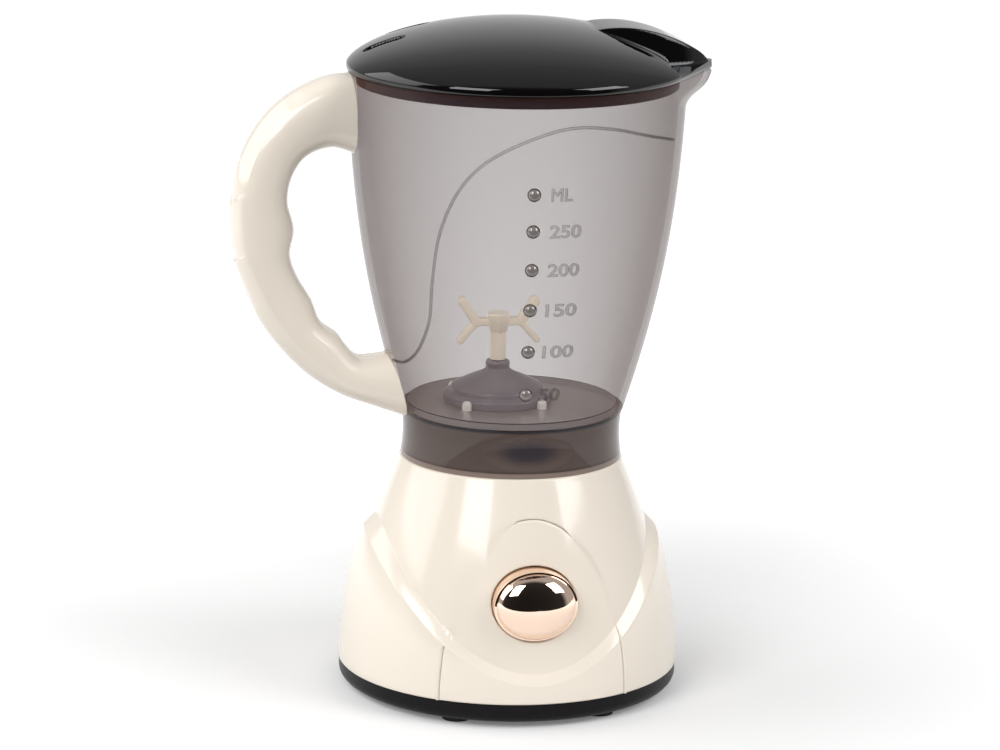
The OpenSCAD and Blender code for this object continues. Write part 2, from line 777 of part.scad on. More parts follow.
// Spout: at each height, a round nose with straight sides that run into the jug's wall
spout_nose = 5;
spout_drop = 17;
module spout(inset) {
    start_r = radius_at(jug_curve, mouth_z - spout_drop) - inset;
    reach = spout_reach - inset;
    nose = spout_nose - inset;
    lean = acos((jug_mouth_r - spout_nose) / (spout_reach - spout_nose));
    rings = [for (p = reversed(curve([
            [reach, mouth_z],
            [reach - 1.8, mouth_z - 0.48 * spout_drop],
            [start_r, mouth_z - 0.24 * spout_drop],
            [start_r - 0.3, mouth_z - spout_drop]], 8)))
        let (side_r = radius_at(jug_curve, p.y) - inset - 0.5)
            concat(
                [[side_r * cos(lean), -side_r * sin(lean), p.y]],
                [for (a = [-30 : 15 : 30]) [p.x - nose + nose * cos(a), nose * sin(a), p.y]],
                [[side_r * cos(lean), side_r * sin(lean), p.y]]
            )];
    lift = [for (q = rings[len(rings) - 1]) q + [0, 0, over]];
    loft(concat(rings, inset > 0 ? [lift] : []));
}

// Lugs that reach from the jug's wall into the handle
lug_z = [floor_line + 84, floor_line + 7.5];
lug_r = 4;
lug_len = 7;

mark_az = -3.8;
mark_first = 11.2;
marks = 6;
function mark_z(k) = floor_line + mark_first + k * mark_step - mark_shrink * k * (k - 1) / 2;

// Scoop that leaves an oval hollow in the collar: a ring segment around an upright axis
module thumb_hollow() {
    scoop_r = 8;
    half_angle = 24.5;
    waist_r = radius_at(collar_curve, collar_z + 0.5 * collar_h);
    near = waist_r - hollow_depth;
    edge = [waist_r * sin(half_angle), waist_r * cos(half_angle)];
    centre = (edge.x * edge.x + edge.y * edge.y - near * near) / (2 * (near - edge.y));
    translate([0, centre, collar_z + 0.5 * collar_h]) rotate([0, 0, -90 - 40])
        rotate_extrude(angle = 80, $fn = 128) translate([centre + near + scoop_r, 0]) circle(r = scoop_r);
}

module jug_shell() {
    color([0.45, 0.42, 0.42, 0.5]) difference() {
        union() {
            rotate_extrude() polygon(concat([[0, collar_z]], jug_outline, [[0, mouth_z]]));
            spout(0);
            for (z = lug_z) let (r = radius_at(jug_curve, z))
                translate([1 - r, 0, z]) rotate([0, -90, 0]) cylinder(r = lug_r, h = lug_len + 1);
            // Measuring bumps
            for (k = [0 : marks - 1])
                rotate([0, 0, mark_az]) translate([0, -radius_at(jug_curve, mark_z(k)) - 0.1, mark_z(k)])
                    sphere(r = mark_r);
        }
        rotate_extrude() polygon(concat(
            [[0, collar_z - over], [collar_bore, collar_z - over], [collar_bore, floor_bottom],
             [floor_r + touch, floor_bottom], [floor_r + touch, floor_top]],
            narrowed(above(jug_curve, floor_top + 2), jug_wall),
            [[mouth_bore, mouth_z + over], [0, mouth_z + over]]
        ));
        spout(jug_wall);
        thumb_hollow();
    }
}

peg_r = 1.35;
peg_circle = seat_r + 1;
module at_pegs() {
    for (a = [41, 139, 221, 319])
        translate([axis_x, 0, 0]) rotate([0, 0, a]) translate([0, -peg_circle, 0]) children();
}

module jug_floor() {
    color([0.3, 0.28, 0.28, 0.6]) difference() {
        translate([0, 0, floor_bottom + touch]) cylinder(r = floor_r, h = floor_t - touch);
        translate([axis_x, 0, floor_bottom - over]) cylinder(r = spindle_r + 1, h = floor_t + 2 * over);
        at_pegs() translate([0, 0, floor_bottom - over]) cylinder(r = 0.9 + touch, h = floor_t + 2 * over);
    }
}

seat_bottom = floor_top + touch;
seat_top = floor_top + seat_h;
neck_r = 3.4;
shoulder_r = seat_r - 2.1;

module agitator_seat() {
    color([0.27, 0.26, 0.29]) difference() {
        translate([axis_x, 0, 0]) rotate_extrude() polygon([
            [spindle_r + running, seat_bottom], [seat_r, seat_bottom], [seat_r, seat_bottom + 2.2],
            [shoulder_r, seat_bottom + 2.7], [shoulder_r, seat_bottom + 4.2],
            [shoulder_r - 1, seat_bottom + 5], [7, seat_top - 4], [neck_r - 0.4, seat_top - 2.6],
            [neck_r, seat_top - 2], [neck_r, seat_top - 0.6], [neck_r - 0.6, seat_top],
            [spindle_r + running, seat_top]
        ]);
        at_pegs() translate([0, 0, seat_bottom - over]) cylinder(r = peg_r + 0.15, h = 6);
    }
}

module seat_pegs() {
    color("ivory") at_pegs() {
        translate([0, 0, floor_bottom]) cylinder(r = 0.9, h = floor_t + 1);
        translate([0, 0, floor_top + touch]) cylinder(r = peg_r, h = 1.3);
        translate([0, 0, floor_top + touch + 1.3]) sphere(r = peg_r);
    }
}

// ---- handle -------------------------------------------------------------------------------
// Outer and inner edge of the grip in the XZ plane, measured from the floor line; the inner
// edge carries the finger bumps
grip_outer = [
    [-46, 95.6], [-55, 94.4], [-65.8, 88.7], [-73.5, 80.3], [-78.6, 68.5], [-80.1, 53], [-79, 43.5],
    [-76.2, 35], [-73, 27.5], [-68.5, 20.8], [-62.5, 14], [-56.4, 8.9], [-49, 4.6], [-40, 1.2], [-31, -2]
];
grip_inner = [
    [-46, 73.2], [-52.5, 75], [-59.3, 72.6], [-63.2, 67], [-64.4, 60], [-62.6, 52.2], [-63.6, 45],
    [-61.5, 38.6], [-57.6, 32], [-54.8, 25.6], [-50, 21.8], [-47.6, 18.6], [-44.2, 15.4], [-39.5, 15.5],
    [-34.5, 16.2]
];
grip_steps = 3;
grip_arc = 8;
handle_seam = 0.03;
handle_fit = 0.2;

// Share of the grip's thickness that the outward shift moves, none at both ends
function grip_shift(k, n) = handle_shift * sin(180 * k / n);

// Half ring k of the grip, on side +1 or -1, drawn in by inset; the two ends lie on the jug's wall
function grip_ring(outer, inner, k, side, inset) =
    let (
        n = len(outer) - 1,
        shift = [-grip_shift(k, n), floor_line],
        centre = (outer[k] + inner[k]) / 2 + shift,
        half = (outer[k] - inner[k]) / 2,
        grow = (norm(half) - inset) / norm(half),
        points = [for (i = [0 : grip_arc])
            let (a = 180 * i / grip_arc)
                [centre.x + half.x * grow * cos(a),
                 side * (handle_seam + (handle_half_d - inset) * sin(a)),
                 centre.y + half.y * grow * cos(a)]]
    )
    k == 0 || k == n
        ? [for (p = points) [-sqrt(pow(radius_at(jug_outline, p.z) + handle_fit, 2) - p.y * p.y), p.y, p.z]]
        : points;

// One hollow half of the handle
module handle_half(side) {
    outer = spline(grip_outer, grip_steps);
    inner = spline(grip_inner, grip_steps);
    n = len(outer) - 1;
    m = 2 * (grip_arc + 1);
    rings = [for (k = [0 : n]) concat(
        grip_ring(outer, inner, k, side, 0),
        reversed(grip_ring(outer, inner, k, side, handle_wall))
    )];
    points = [for (ring = rings, p = ring) p];
    sides = [
        for (k = [0 : n - 1], i = [0 : m - 1])
            let (a = k * m + i, b = k * m + (i + 1) % m)
                each [[a, b, a + m], [b, b + m, a + m]]
    ];
    ends = [
        for (i = [0 : grip_arc - 1])
            let (a = i, b = i + 1, c = m - 2 - i, d = m - 1 - i, e = n * m)
                each [[a, c, b], [a, d, c], [e + a, e + b, e + c], [e + a, e + c, e + d]]
    ];
    faces = concat(sides, ends);
    polyhedron(points, side > 0 ? faces : [for (f = faces) reversed(f)], convexity = 8);
}

module handle_front_half() {
    color("antiquewhite") handle_half(-1);
}

module handle_rear_half() {
    color("antiquewhite") handle_half(1);
}

// ---- agitator -----------------------------------------------------------------------------
blade_z = seat_top + agitator_h;
hub_half = 3.3;
bend = 6.5;
blade_d = 3.4;
blade_t = 1.9;

// Flat bar from one point to another in the XZ plane
module bar(from, to, t = blade_t, d = blade_d) {
    run = to - from;
    translate([from.x, 0, from.y]) rotate([0, -atan2(run.y, run.x), 0])
        translate([-t / 2, -d / 2, -t / 2]) cube([norm(run) + t, d, t]);
}

module agitator_blades() {
    color("antiquewhite") translate([axis_x, 0, 0]) difference() {
        union() {
            translate([0, 0, seat_top + 0.3]) cylinder(r = tube_r, h = blade_z - seat_top);
            translate([0, 0, blade_z - 3]) rotate([0, 0, 30])
                cylinder(r1 = tube_r + 0.5, r2 = hub_half, h = 3, $fn = 6);
            translate([0, 0, blade_z]) rotate([0, 0, 30]) cylinder(r = hub_half + 0.2, h = 2.6, $fn = 6);
            for (side = [-1, 1]) {
                bar([side * 1.5, blade_z], [side * bend, blade_z]);
                bar([side * bend, blade_z], [side * (prong_reach - 1), blade_z + 6.4], blade_t + 0.4);
                bar([side * bend, blade_z], [side * (prong_reach - 0.6), blade_z - 5]);
            }
        }
        translate([0, 0, seat_top]) cylinder(r = spindle_r + touch / 2, h = agitator_h);
    }
}

driven_z = floor_bottom - 0.4 - 3.5;
module agitator_spindle() {
    start = driven_z + 0.3;
    color("silver") translate([axis_x, 0, start])
        cylinder(r = spindle_r, h = seat_top + agitator_h - 0.5 - start);
}

module driven_coupling() {
    dog_end = coupling_base + coupling_t + 0.5;
    color("dimgray") translate([axis_x, 0, 0]) {
        difference() {
            translate([0, 0, driven_z]) cylinder(r = coupling_r, h = 3.5);
            translate([0, 0, driven_z + 0.25]) cylinder(r = spindle_r + touch / 2, h = 6);
        }
        dogs(60, dog_end, driven_z + 0.1 - dog_end);
    }
}

// ---- lid ----------------------------------------------------------------------------------
lid_r = jug_mouth_r + lid_overhang;
lid_wide_z = mouth_z + 1.7;
dome_curve = curve([
    [lid_r, lid_wide_z],
    [lid_r - 11.9, lid_wide_z + 0.94 * dome_h],
    [11.9, lid_wide_z + 0.985 * dome_h],
    [0, lid_wide_z + dome_h]
], 20);
plug_r = mouth_bore - 0.25;
plug_t = 1.8;
plug_top = lid_z + 2.2;

function dome_z(r) = lookup(r, [for (p = dome_curve) [p.x, p.y]]);

// Beak over the spout: distance from the axis, half width, height of its edge and of its ridge
beak = [
    [22, 8, dome_z(23.5) - 0.6, dome_z(22) + 0.1],
    [28, 19, dome_z(34) - 0.5, dome_z(28) + 0.5],
    [34, 23.5, dome_z(41) - 0.5, dome_z(34) + 1.4],
    [40, 24, lid_wide_z, dome_z(40) + 2.4],
    [44.5, 18.4, lid_wide_z, lid_wide_z + 7.2],
    [48.5, 11.9, lid_wide_z - 0.4, lid_wide_z + 5.2],
    [spout_reach - 3, 6, lid_wide_z - 0.7, lid_wide_z + 2.7],
    [spout_reach - 0.8, 3.4, lid_wide_z - 1, lid_wide_z + 0.6],
    [spout_reach + 0.1, 1.6, lid_z + 0.3, lid_wide_z - 0.6]
];

module lid_beak() {
    loft([for (s = beak) concat(
        [for (a = [0 : 20 : 180]) [s[0], s[1] * cos(a), s[2] + (s[3] - s[2]) * sin(a)]],
        [[s[0], -s[1], lid_z], [s[0], s[1], lid_z]]
    )]);
}

// Shallow slots by the handle
slot_len = 12;
slot_w = 4.8;
slot_depth = 0.9;
slot_turn = -15;
slot_at = [[-37.8, -0.9], [-29, 15.3]];

module lid_slots() {
    for (p = slot_at) let (r = norm(p), slope = atan2(dome_z(r - 2) - dome_z(r + 2), 4))
        translate([p.x, p.y, dome_z(r) - slot_depth]) rotate([0, 0, slot_turn]) rotate([0, -slope, 0])
            linear_extrude(height = 8) {
                square([slot_len - slot_w, slot_w], center = true);
                for (side = [-1, 1]) translate([side * (slot_len - slot_w) / 2, 0]) circle(d = slot_w);
            }
}

module lid_cover() {
    color([0.07, 0.06, 0.07]) difference() {
        union() {
            rotate_extrude() polygon(concat(
                [[0, lid_z], [lid_r - 1, lid_z], [lid_r - 0.3, lid_z + 0.5]], dome_curve));
            lid_beak();
        }
        // Hollow underside with the seat of the plug ring
        rotate_extrude() polygon(concat(
            [[0, lid_z - over], [plug_r + touch, lid_z - over], [plug_r + touch, plug_top + touch]],
            [for (p = dome_curve) if (p.x < plug_r - 1.2) [p.x, p.y - lid_t]]
        ));
        lid_slots();
    }
}

module lid_plug() {
    color([0.2, 0.21, 0.23]) difference() {
        translate([0, 0, lid_z - rest_gap - plug_depth])
            cylinder(r = plug_r, h = plug_top - lid_z + rest_gap + plug_depth);
        translate([0, 0, lid_z - rest_gap - plug_depth - over]) cylinder(r = plug_r - plug_t, h = 20);
    }
}

base_housing();
front_panel();
base_plate();
rubber_feet();
housing_screws();
battery_door();
battery_door_screw();
aa_batteries();
battery_springs();
battery_contacts();
motor_can();
motor_screws();
motor_shaft();
motor_pinion();
gearbox_plate();
gearbox_screws();
drive_gear();
drive_shaft();
drive_coupling();
deck_bushing();
switch_bracket();
push_switch();
wires();
button_cap();
button_stem();
switch_plunger();
button_spring();
jug_shell();
jug_floor();
agitator_seat();
seat_pegs();
handle_front_half();
handle_rear_half();
agitator_blades();
agitator_spindle();
driven_coupling();
lid_cover();
lid_plug();
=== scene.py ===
import json
import math

import bmesh
import bpy
import numpy as np
from mathutils import Matrix, Vector


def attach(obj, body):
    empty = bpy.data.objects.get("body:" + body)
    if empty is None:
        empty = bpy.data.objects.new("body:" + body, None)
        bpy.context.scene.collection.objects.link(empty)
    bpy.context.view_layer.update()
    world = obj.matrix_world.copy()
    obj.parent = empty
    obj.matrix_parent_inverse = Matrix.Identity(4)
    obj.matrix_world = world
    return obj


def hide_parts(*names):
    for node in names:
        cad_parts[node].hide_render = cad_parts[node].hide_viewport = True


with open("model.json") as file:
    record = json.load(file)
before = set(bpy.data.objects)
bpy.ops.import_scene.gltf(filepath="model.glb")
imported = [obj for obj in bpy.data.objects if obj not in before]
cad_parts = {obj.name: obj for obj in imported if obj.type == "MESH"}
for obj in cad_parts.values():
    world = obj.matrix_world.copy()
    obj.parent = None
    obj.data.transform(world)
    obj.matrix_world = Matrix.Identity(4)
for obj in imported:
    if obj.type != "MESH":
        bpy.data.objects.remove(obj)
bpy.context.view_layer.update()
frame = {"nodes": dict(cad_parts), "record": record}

# A toy blender: cream base with a mirror button, smoked jug with handle and agitator, black lid with a beak.
# Lengths are in millimetres, heights from the table and azimuths from the front (-Y) towards +X. The stage,
# the camera and the lamps are in metres.
MM = 0.001
PI = math.pi
cos, sin = np.cos, np.sin

# Levels and radii of the frame
PLATE_TOP, DECK_Z = 7.0, 67.0
COLLAR_Z, FLOOR_LINE, MOUTH = 67.2, 81.0, 176.8
LID_Z, LID_WIDE, LID_R, DOME_H = 177.0, 178.5, 47.9, 12.7
AXIS_X = -4.2
BUTTON_Z = 34.4
HOLE = (12.1, 10.3)
BLADE_Z, SEAT_TOP = 105.2, 94.2


# ---- curves and meshes --------------------------------------------------------------------
def bezier(p, n):
    """Cubic curve through four control points, in n steps."""
    t = np.linspace(0, 1, n + 1)[:, None]
    p = np.array(p, float)
    return (1 - t) ** 3 * p[0] + 3 * (1 - t) ** 2 * t * p[1] + 3 * (1 - t) * t * t * p[2] + t ** 3 * p[3]


def spline(p, steps):
    """Catmull-Rom curve through the points."""
    p = np.array(p, float)
    q = np.vstack([p[0], p, p[-1]])
    out = []
    for i in range(len(p) - 1):
        a, b, c, d = q[i:i + 4]
        for t in np.arange(steps) / steps:
            out.append(0.5 * (2 * b + (c - a) * t + (2 * a - 5 * b + 4 * c - d) * t * t
                              + (3 * b - a - 3 * c + d) * t ** 3))
    return np.array(out + [p[-1]])


def smooth(t):
    """Soft step from 0 to 1."""
    t = np.clip(t, 0, 1)
    return t * t * (3 - 2 * t)


def mesh_object(name, verts, faces, mat, body, replaces=()):
    """A piece from points in millimetres."""
    me = bpy.data.meshes.new(name)
    me.from_pydata([tuple(v) for v in np.asarray(verts) * MM], [], faces)
    me.validate()
    me.polygons.foreach_set("use_smooth", [True] * len(me.polygons))
    me.materials.append(mat)
    ob = bpy.data.objects.new(name, me)
    bpy.context.scene.collection.objects.link(ob)
    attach(ob, body)
    if replaces:
        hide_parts(*replaces)
    return ob


def sharpen(ob, degrees):
    """Marks edges sharper than the angle, so that flat faces shade flat."""
    ob.data.set_sharp_from_angle(angle=math.radians(degrees))


def ring_faces(rows, cols, close_rows=False):
    """Faces between rings of cols points each."""
    faces = []
    for k in range(rows if close_rows else rows - 1):
        a, b = k * cols, ((k + 1) % rows) * cols
        for i in range(cols):
            j = (i + 1) % cols
            faces.append((a + i, a + j, b + j, b + i))
    return faces


def rings_to_mesh(rings, close_rows=False, caps=True):
    """Points and faces of closed rings of equal length."""
    rings = [np.asarray(r, float) for r in rings]
    cols = len(rings[0])
    faces = ring_faces(len(rings), cols, close_rows)
    if caps and not close_rows:
        faces.append(tuple(range(cols))[::-1])
        faces.append(tuple((len(rings) - 1) * cols + i for i in range(cols)))
    return np.vstack(rings), faces


def fix_normals(ob):
    """Turns all faces outwards."""
    bm = bmesh.new()
    bm.from_mesh(ob.data)
    bmesh.ops.recalc_face_normals(bm, faces=bm.faces)
    bm.to_mesh(ob.data)
    bm.free()


def turned_rings(profile, cols, turn=0.0, x=0.0):
    """Rings round the upright line at x, from (radius, height) points."""
    a = np.linspace(0, 2 * PI, cols, endpoint=False) + turn
    return [np.c_[x + r * cos(a), r * sin(a), np.full(cols, z)] for r, z in profile]


def level_ring(a, r, z, x=0.0):
    """Level ring of azimuths a and radius r."""
    return np.c_[x + r * sin(a), -r * cos(a), np.zeros(len(a)) + z]


def rounded(points, radii, steps):
    """Closed outline with its corners rounded, by one radius for each corner."""
    pts = [np.array(p, float) for p in points]
    n = len(pts)
    most = 0.45
    out = []
    for i in range(n):
        p, a, b = pts[i], pts[i - 1], pts[(i + 1) % n]
        if radii[i] <= 0:
            out.append(p)
            continue
        u, v = a - p, b - p
        r = min(radii[i], most * np.linalg.norm(u), most * np.linalg.norm(v))
        s, e = p + u / np.linalg.norm(u) * r, p + v / np.linalg.norm(v) * r
        for k in range(steps + 1):
            t = k / steps
            out.append((1 - t) ** 2 * s + 2 * t * (1 - t) * p + t * t * e)
    return out


# ---- materials ----------------------------------------------------------------------------
COAT_ROUGHNESS = 0.04
MOTTLE_DETAIL, GRAIN_DETAIL = 3, 2
# A scale of noise counts its spots per metre, and the grain's depth is in metres
GRAIN_SCALE, GRAIN_DEPTH = 900.0, 0.0002


def node(tree, kind, **values):
    """A shader node. Values named in_0, in_1 ... go to its inputs, and the others are its settings."""
    n = tree.nodes.new("ShaderNode" + kind)
    for key, value in values.items():
        if key.startswith("in_"):
            n.inputs[int(key[3:])].default_value = value
        else:
            setattr(n, key, value)
    return n


def noise_node(tree, place, scale, detail):
    noise = node(tree, "TexNoise")
    noise.inputs["Scale"].default_value = scale
    noise.inputs["Detail"].default_value = detail
    tree.links.new(place, noise.inputs["Vector"])
    return noise.outputs["Fac"]


def material(name, color, roughness=0.3, metallic=0.0, coat=0.0, specular=0.5, mottle=0.03, grain=0.0,
             rough_var=0.04, scale=60.0):
    """Moulded or metal finish: faint colour drift, uneven gloss and a fine grain."""
    m = bpy.data.materials.new(name)
    m.use_nodes = True
    nt = m.node_tree
    bsdf = nt.nodes["Principled BSDF"]
    for key, value in (("Metallic", metallic), ("Specular IOR Level", specular), ("Coat Weight", coat),
                       ("Coat Roughness", COAT_ROUGHNESS)):
        bsdf.inputs[key].default_value = value
    place = node(nt, "TexCoord").outputs["Object"]
    noise = noise_node(nt, place, scale, MOTTLE_DETAIL)
    drift = node(nt, "Mix", data_type="RGBA")
    drift.inputs[6].default_value = [c * (1 - mottle) for c in color] + [1]
    drift.inputs[7].default_value = [min(1, c * (1 + mottle)) for c in color] + [1]
    nt.links.new(noise, drift.inputs[0])
    nt.links.new(drift.outputs[2], bsdf.inputs["Base Color"])
    rough = node(nt, "MapRange")
    rough.inputs["To Min"].default_value = max(0.0, roughness - rough_var)
    rough.inputs["To Max"].default_value = roughness + rough_var
    nt.links.new(noise, rough.inputs["Value"])
    nt.links.new(rough.outputs["Result"], bsdf.inputs["Roughness"])
    if grain:
        bump = node(nt, "Bump")
        bump.inputs["Strength"].default_value = grain
        bump.inputs["Distance"].default_value = GRAIN_DEPTH
        nt.links.new(noise_node(nt, place, GRAIN_SCALE, GRAIN_DETAIL), bump.inputs["Height"])
        nt.links.new(bump.outputs["Normal"], bsdf.inputs["Normal"])
    return m


def ray_switch(tree, ways):
    """1 for rays of the kinds that are named, and 0 for the others."""
    path = node(tree, "LightPath")
    total = None
    for way in ways:
        if total is None:
            total = path.outputs[way]
            continue
        both = node(tree, "Math", operation="MAXIMUM")
        tree.links.new(total, both.inputs[0])
        tree.links.new(path.outputs[way], both.inputs[1])
        total = both.outputs[0]
    return total


SMOKE_SPECULAR, SMOKE_FACING = 0.25, 0.35
# Share of its density that smoked plastic loses for shadows and for light that is already scattered
SMOKE_CLEARING = 0.95


def smoke_material(name, color, through, edge, roughness=0.06, ior=1.2):
    """Smoked clear plastic: lets most light through face on, and little at a grazing angle."""
    m = material(name, color, roughness, specular=SMOKE_SPECULAR, rough_var=0.02, mottle=0.02)
    m.surface_render_method = "BLENDED"
    nt = m.node_tree
    bsdf = nt.nodes["Principled BSDF"]
    weight = node(nt, "LayerWeight", in_0=SMOKE_FACING)
    alpha = node(nt, "MapRange")
    alpha.name = "wall"
    alpha.inputs["To Min"].default_value = through
    alpha.inputs["To Max"].default_value = edge
    nt.links.new(weight.outputs["Facing"], alpha.inputs["Value"])
    clear = node(nt, "Math", operation="MULTIPLY_ADD", in_1=-SMOKE_CLEARING, in_2=1.0)
    nt.links.new(ray_switch(nt, ("Is Shadow Ray", "Is Diffuse Ray")), clear.inputs[0])
    bsdf.inputs["IOR"].default_value = ior
    both = node(nt, "Math", operation="MULTIPLY")
    both.name = "alpha"
    nt.links.new(alpha.outputs["Result"], both.inputs[0])
    nt.links.new(clear.outputs[0], both.inputs[1])
    nt.links.new(both.outputs[0], bsdf.inputs["Alpha"])
    return m


def add_collar_shade(m, bands, spot):
    """Collar low on the jug, its colour and density set by height. Bands are (height, colour, density),
    lowest first. The plastic is thicker there, and the dark of the bands is also painted shade from inside
    the collar, where the jug's floor keeps the light out; they are paler at its foot and have dark lines
    above it and at the floor line. The spot is a dark oval on the front, painted shade over the dimple: x and
    z of its middle, its two half widths and its colour."""
    nt = m.node_tree
    bsdf = nt.nodes["Principled BSDF"]
    place = node(nt, "TexCoord")
    split = node(nt, "SeparateXYZ")
    nt.links.new(place.outputs["Object"], split.inputs[0])
    low, high = bands[0][0] * MM, bands[-1][0] * MM
    level = node(nt, "MapRange")
    level.inputs["From Min"].default_value = low
    level.inputs["From Max"].default_value = high
    nt.links.new(split.outputs["Z"], level.inputs["Value"])
    tint, dense = node(nt, "ValToRGB"), node(nt, "ValToRGB")
    for ramp in (tint, dense):
        while len(ramp.color_ramp.elements) < len(bands):
            ramp.color_ramp.elements.new(0.5)
        nt.links.new(level.outputs["Result"], ramp.inputs[0])
    for i, (z, color, density) in enumerate(bands):
        at = (z * MM - low) / (high - low)
        tint.color_ramp.elements[i].position = at
        tint.color_ramp.elements[i].color = (*color, 1)
        dense.color_ramp.elements[i].position = at
        dense.color_ramp.elements[i].color = (density, density, density, 1)
    # The spot darkens the dimple as painted shade
    sx, sz, rx, rz, shade = spot
    shift = node(nt, "VectorMath", operation="SUBTRACT", in_1=(sx * MM, 0, sz * MM))
    nt.links.new(place.outputs["Object"], shift.inputs[0])
    scale = node(nt, "VectorMath", operation="MULTIPLY", in_1=(1000 / rx, 0, 1000 / rz))
    nt.links.new(shift.outputs[0], scale.inputs[0])
    far = node(nt, "VectorMath", operation="LENGTH")
    nt.links.new(scale.outputs[0], far.inputs[0])
    fade = node(nt, "MapRange", interpolation_type="SMOOTHSTEP", in_1=0.3, in_2=1.0, in_3=1.0, in_4=0.0)
    nt.links.new(far.outputs["Value"], fade.inputs[0])
    front = node(nt, "Math", operation="LESS_THAN", in_1=0.0)
    nt.links.new(split.outputs["Y"], front.inputs[0])
    amount = node(nt, "Math", operation="MULTIPLY")
    nt.links.new(fade.outputs[0], amount.inputs[0])
    nt.links.new(front.outputs[0], amount.inputs[1])
    mix = node(nt, "Mix", data_type="RGBA")
    mix.inputs[7].default_value = (*shade, 1)
    nt.links.new(amount.outputs[0], mix.inputs[0])
    nt.links.new(tint.outputs[0], mix.inputs[6])
    nt.links.new(mix.outputs[2], bsdf.inputs["Base Color"])
    wall = nt.nodes["wall"]
    most = node(nt, "Math", operation="MAXIMUM")
    nt.links.new(wall.outputs["Result"], most.inputs[0])
    nt.links.new(dense.outputs[0], most.inputs[1])
    nt.links.new(most.outputs[0], nt.nodes["alpha"].inputs[0])


def darken_rim(m, rim_color):
    """A glassy bump: dark round its rim, where the light is bent away."""
    rim_start, rim_end = 0.12, 0.6
    nt = m.node_tree
    bsdf = nt.nodes["Principled BSDF"]
    inner = bsdf.inputs["Base Color"].links[0].from_socket
    weight = node(nt, "LayerWeight", in_0=0.5)
    fade = node(nt, "MapRange", interpolation_type="SMOOTHSTEP", in_1=rim_start, in_2=rim_end)
    mix = node(nt, "Mix", data_type="RGBA")
    mix.inputs[7].default_value = (*rim_color, 1)
    nt.links.new(weight.outputs["Facing"], fade.inputs[0])
    nt.links.new(fade.outputs[0], mix.inputs[0])
    nt.links.new(inner, mix.inputs[6])
    nt.links.new(mix.outputs[2], bsdf.inputs["Base Color"])


CREAM = (0.83, 0.755, 0.655)
# COLLAR is the collar's smoked plastic, darkened further as painted shade from inside the jug's foot
CLEAR, COLLAR = (0.088, 0.033, 0.022), (0.098, 0.073, 0.065)
cream = material("cream_gloss", CREAM, 0.16, coat=0.25, mottle=0.012, scale=30)
# Cream of the agitator, paler than the base's: painted light that makes up for the light the jug holds back
# from it
blade_lit_cream = material("blade_lit_cream", (0.98, 0.87, 0.73), 0.3, mottle=0.01)
black_gloss = material("black_gloss", (0.003, 0.0025, 0.003), 0.05, specular=0.5, rough_var=0.015,
                       mottle=0.05)
plate_black = material("plate_satin", (0.005, 0.004, 0.005), 0.38, specular=0.15, grain=0.3, mottle=0.08)
slot_black = material("slot_matt", (0.003, 0.0025, 0.003), 0.6, specular=0.05, mottle=0.05)
rubber = material("rubber_matt", (0.02, 0.02, 0.02), 0.75, grain=0.5, mottle=0.1)
smoke = smoke_material("smoke_outside", CLEAR, 0.19, 0.75)
smoke_inside = smoke_material("smoke_inside", CLEAR, 0.195, 0.25)
smoke_collar = smoke_material("smoke_collar", COLLAR, 0.9, 0.95, ior=1.42)
# The collar's colours by height are partly painted shade from inside its foot, and its spot is painted shade
# over the dimple
add_collar_shade(smoke_collar, [(COLLAR_Z, (0.24, 0.185, 0.16), 0.93), (COLLAR_Z + 1.3, (0.22, 0.17, 0.145), 0.93),
                          (COLLAR_Z + 1.6, (0.06, 0.045, 0.04), 0.95), (COLLAR_Z + 2.4, COLLAR, 0.95),
                          (FLOOR_LINE - 1.2, COLLAR, 0.95), (FLOOR_LINE - 0.6, (0.03, 0.026, 0.03), 0.97),
                          (FLOOR_LINE + 0.8, (0.035, 0.03, 0.034), 0.95)],
           (0.0, 74.2, 11.5, 4.4, (0.042, 0.036, 0.042)))
smoke_floor = smoke_material("smoke_floor", (0.40, 0.375, 0.37), 0.55, 0.75, ior=1.4)
seat_grey = material("seat_gloss", (0.225, 0.21, 0.23), 0.2, coat=0.2, mottle=0.03)
plug_grey = material("plug_satin", (0.001, 0.013, 0.026), 0.35, grain=0.15, mottle=0.05)
mirror = material("rose_mirror", (0.96, 0.74, 0.60), 0.03, metallic=1.0, rough_var=0.01, mottle=0.02)
bead_mat = material("bead_smoke", (0.20, 0.175, 0.165), 0.05, specular=0.9, coat=0.6, mottle=0.03)
darken_rim(bead_mat, (0.012, 0.01, 0.01))
ridge_mat = smoke_material("ridge_smoke", (0.04, 0.03, 0.028), 0.10, 0.97, 0.12)
white_part = material("white_acetal", (0.75, 0.73, 0.68), 0.35, grain=0.1)

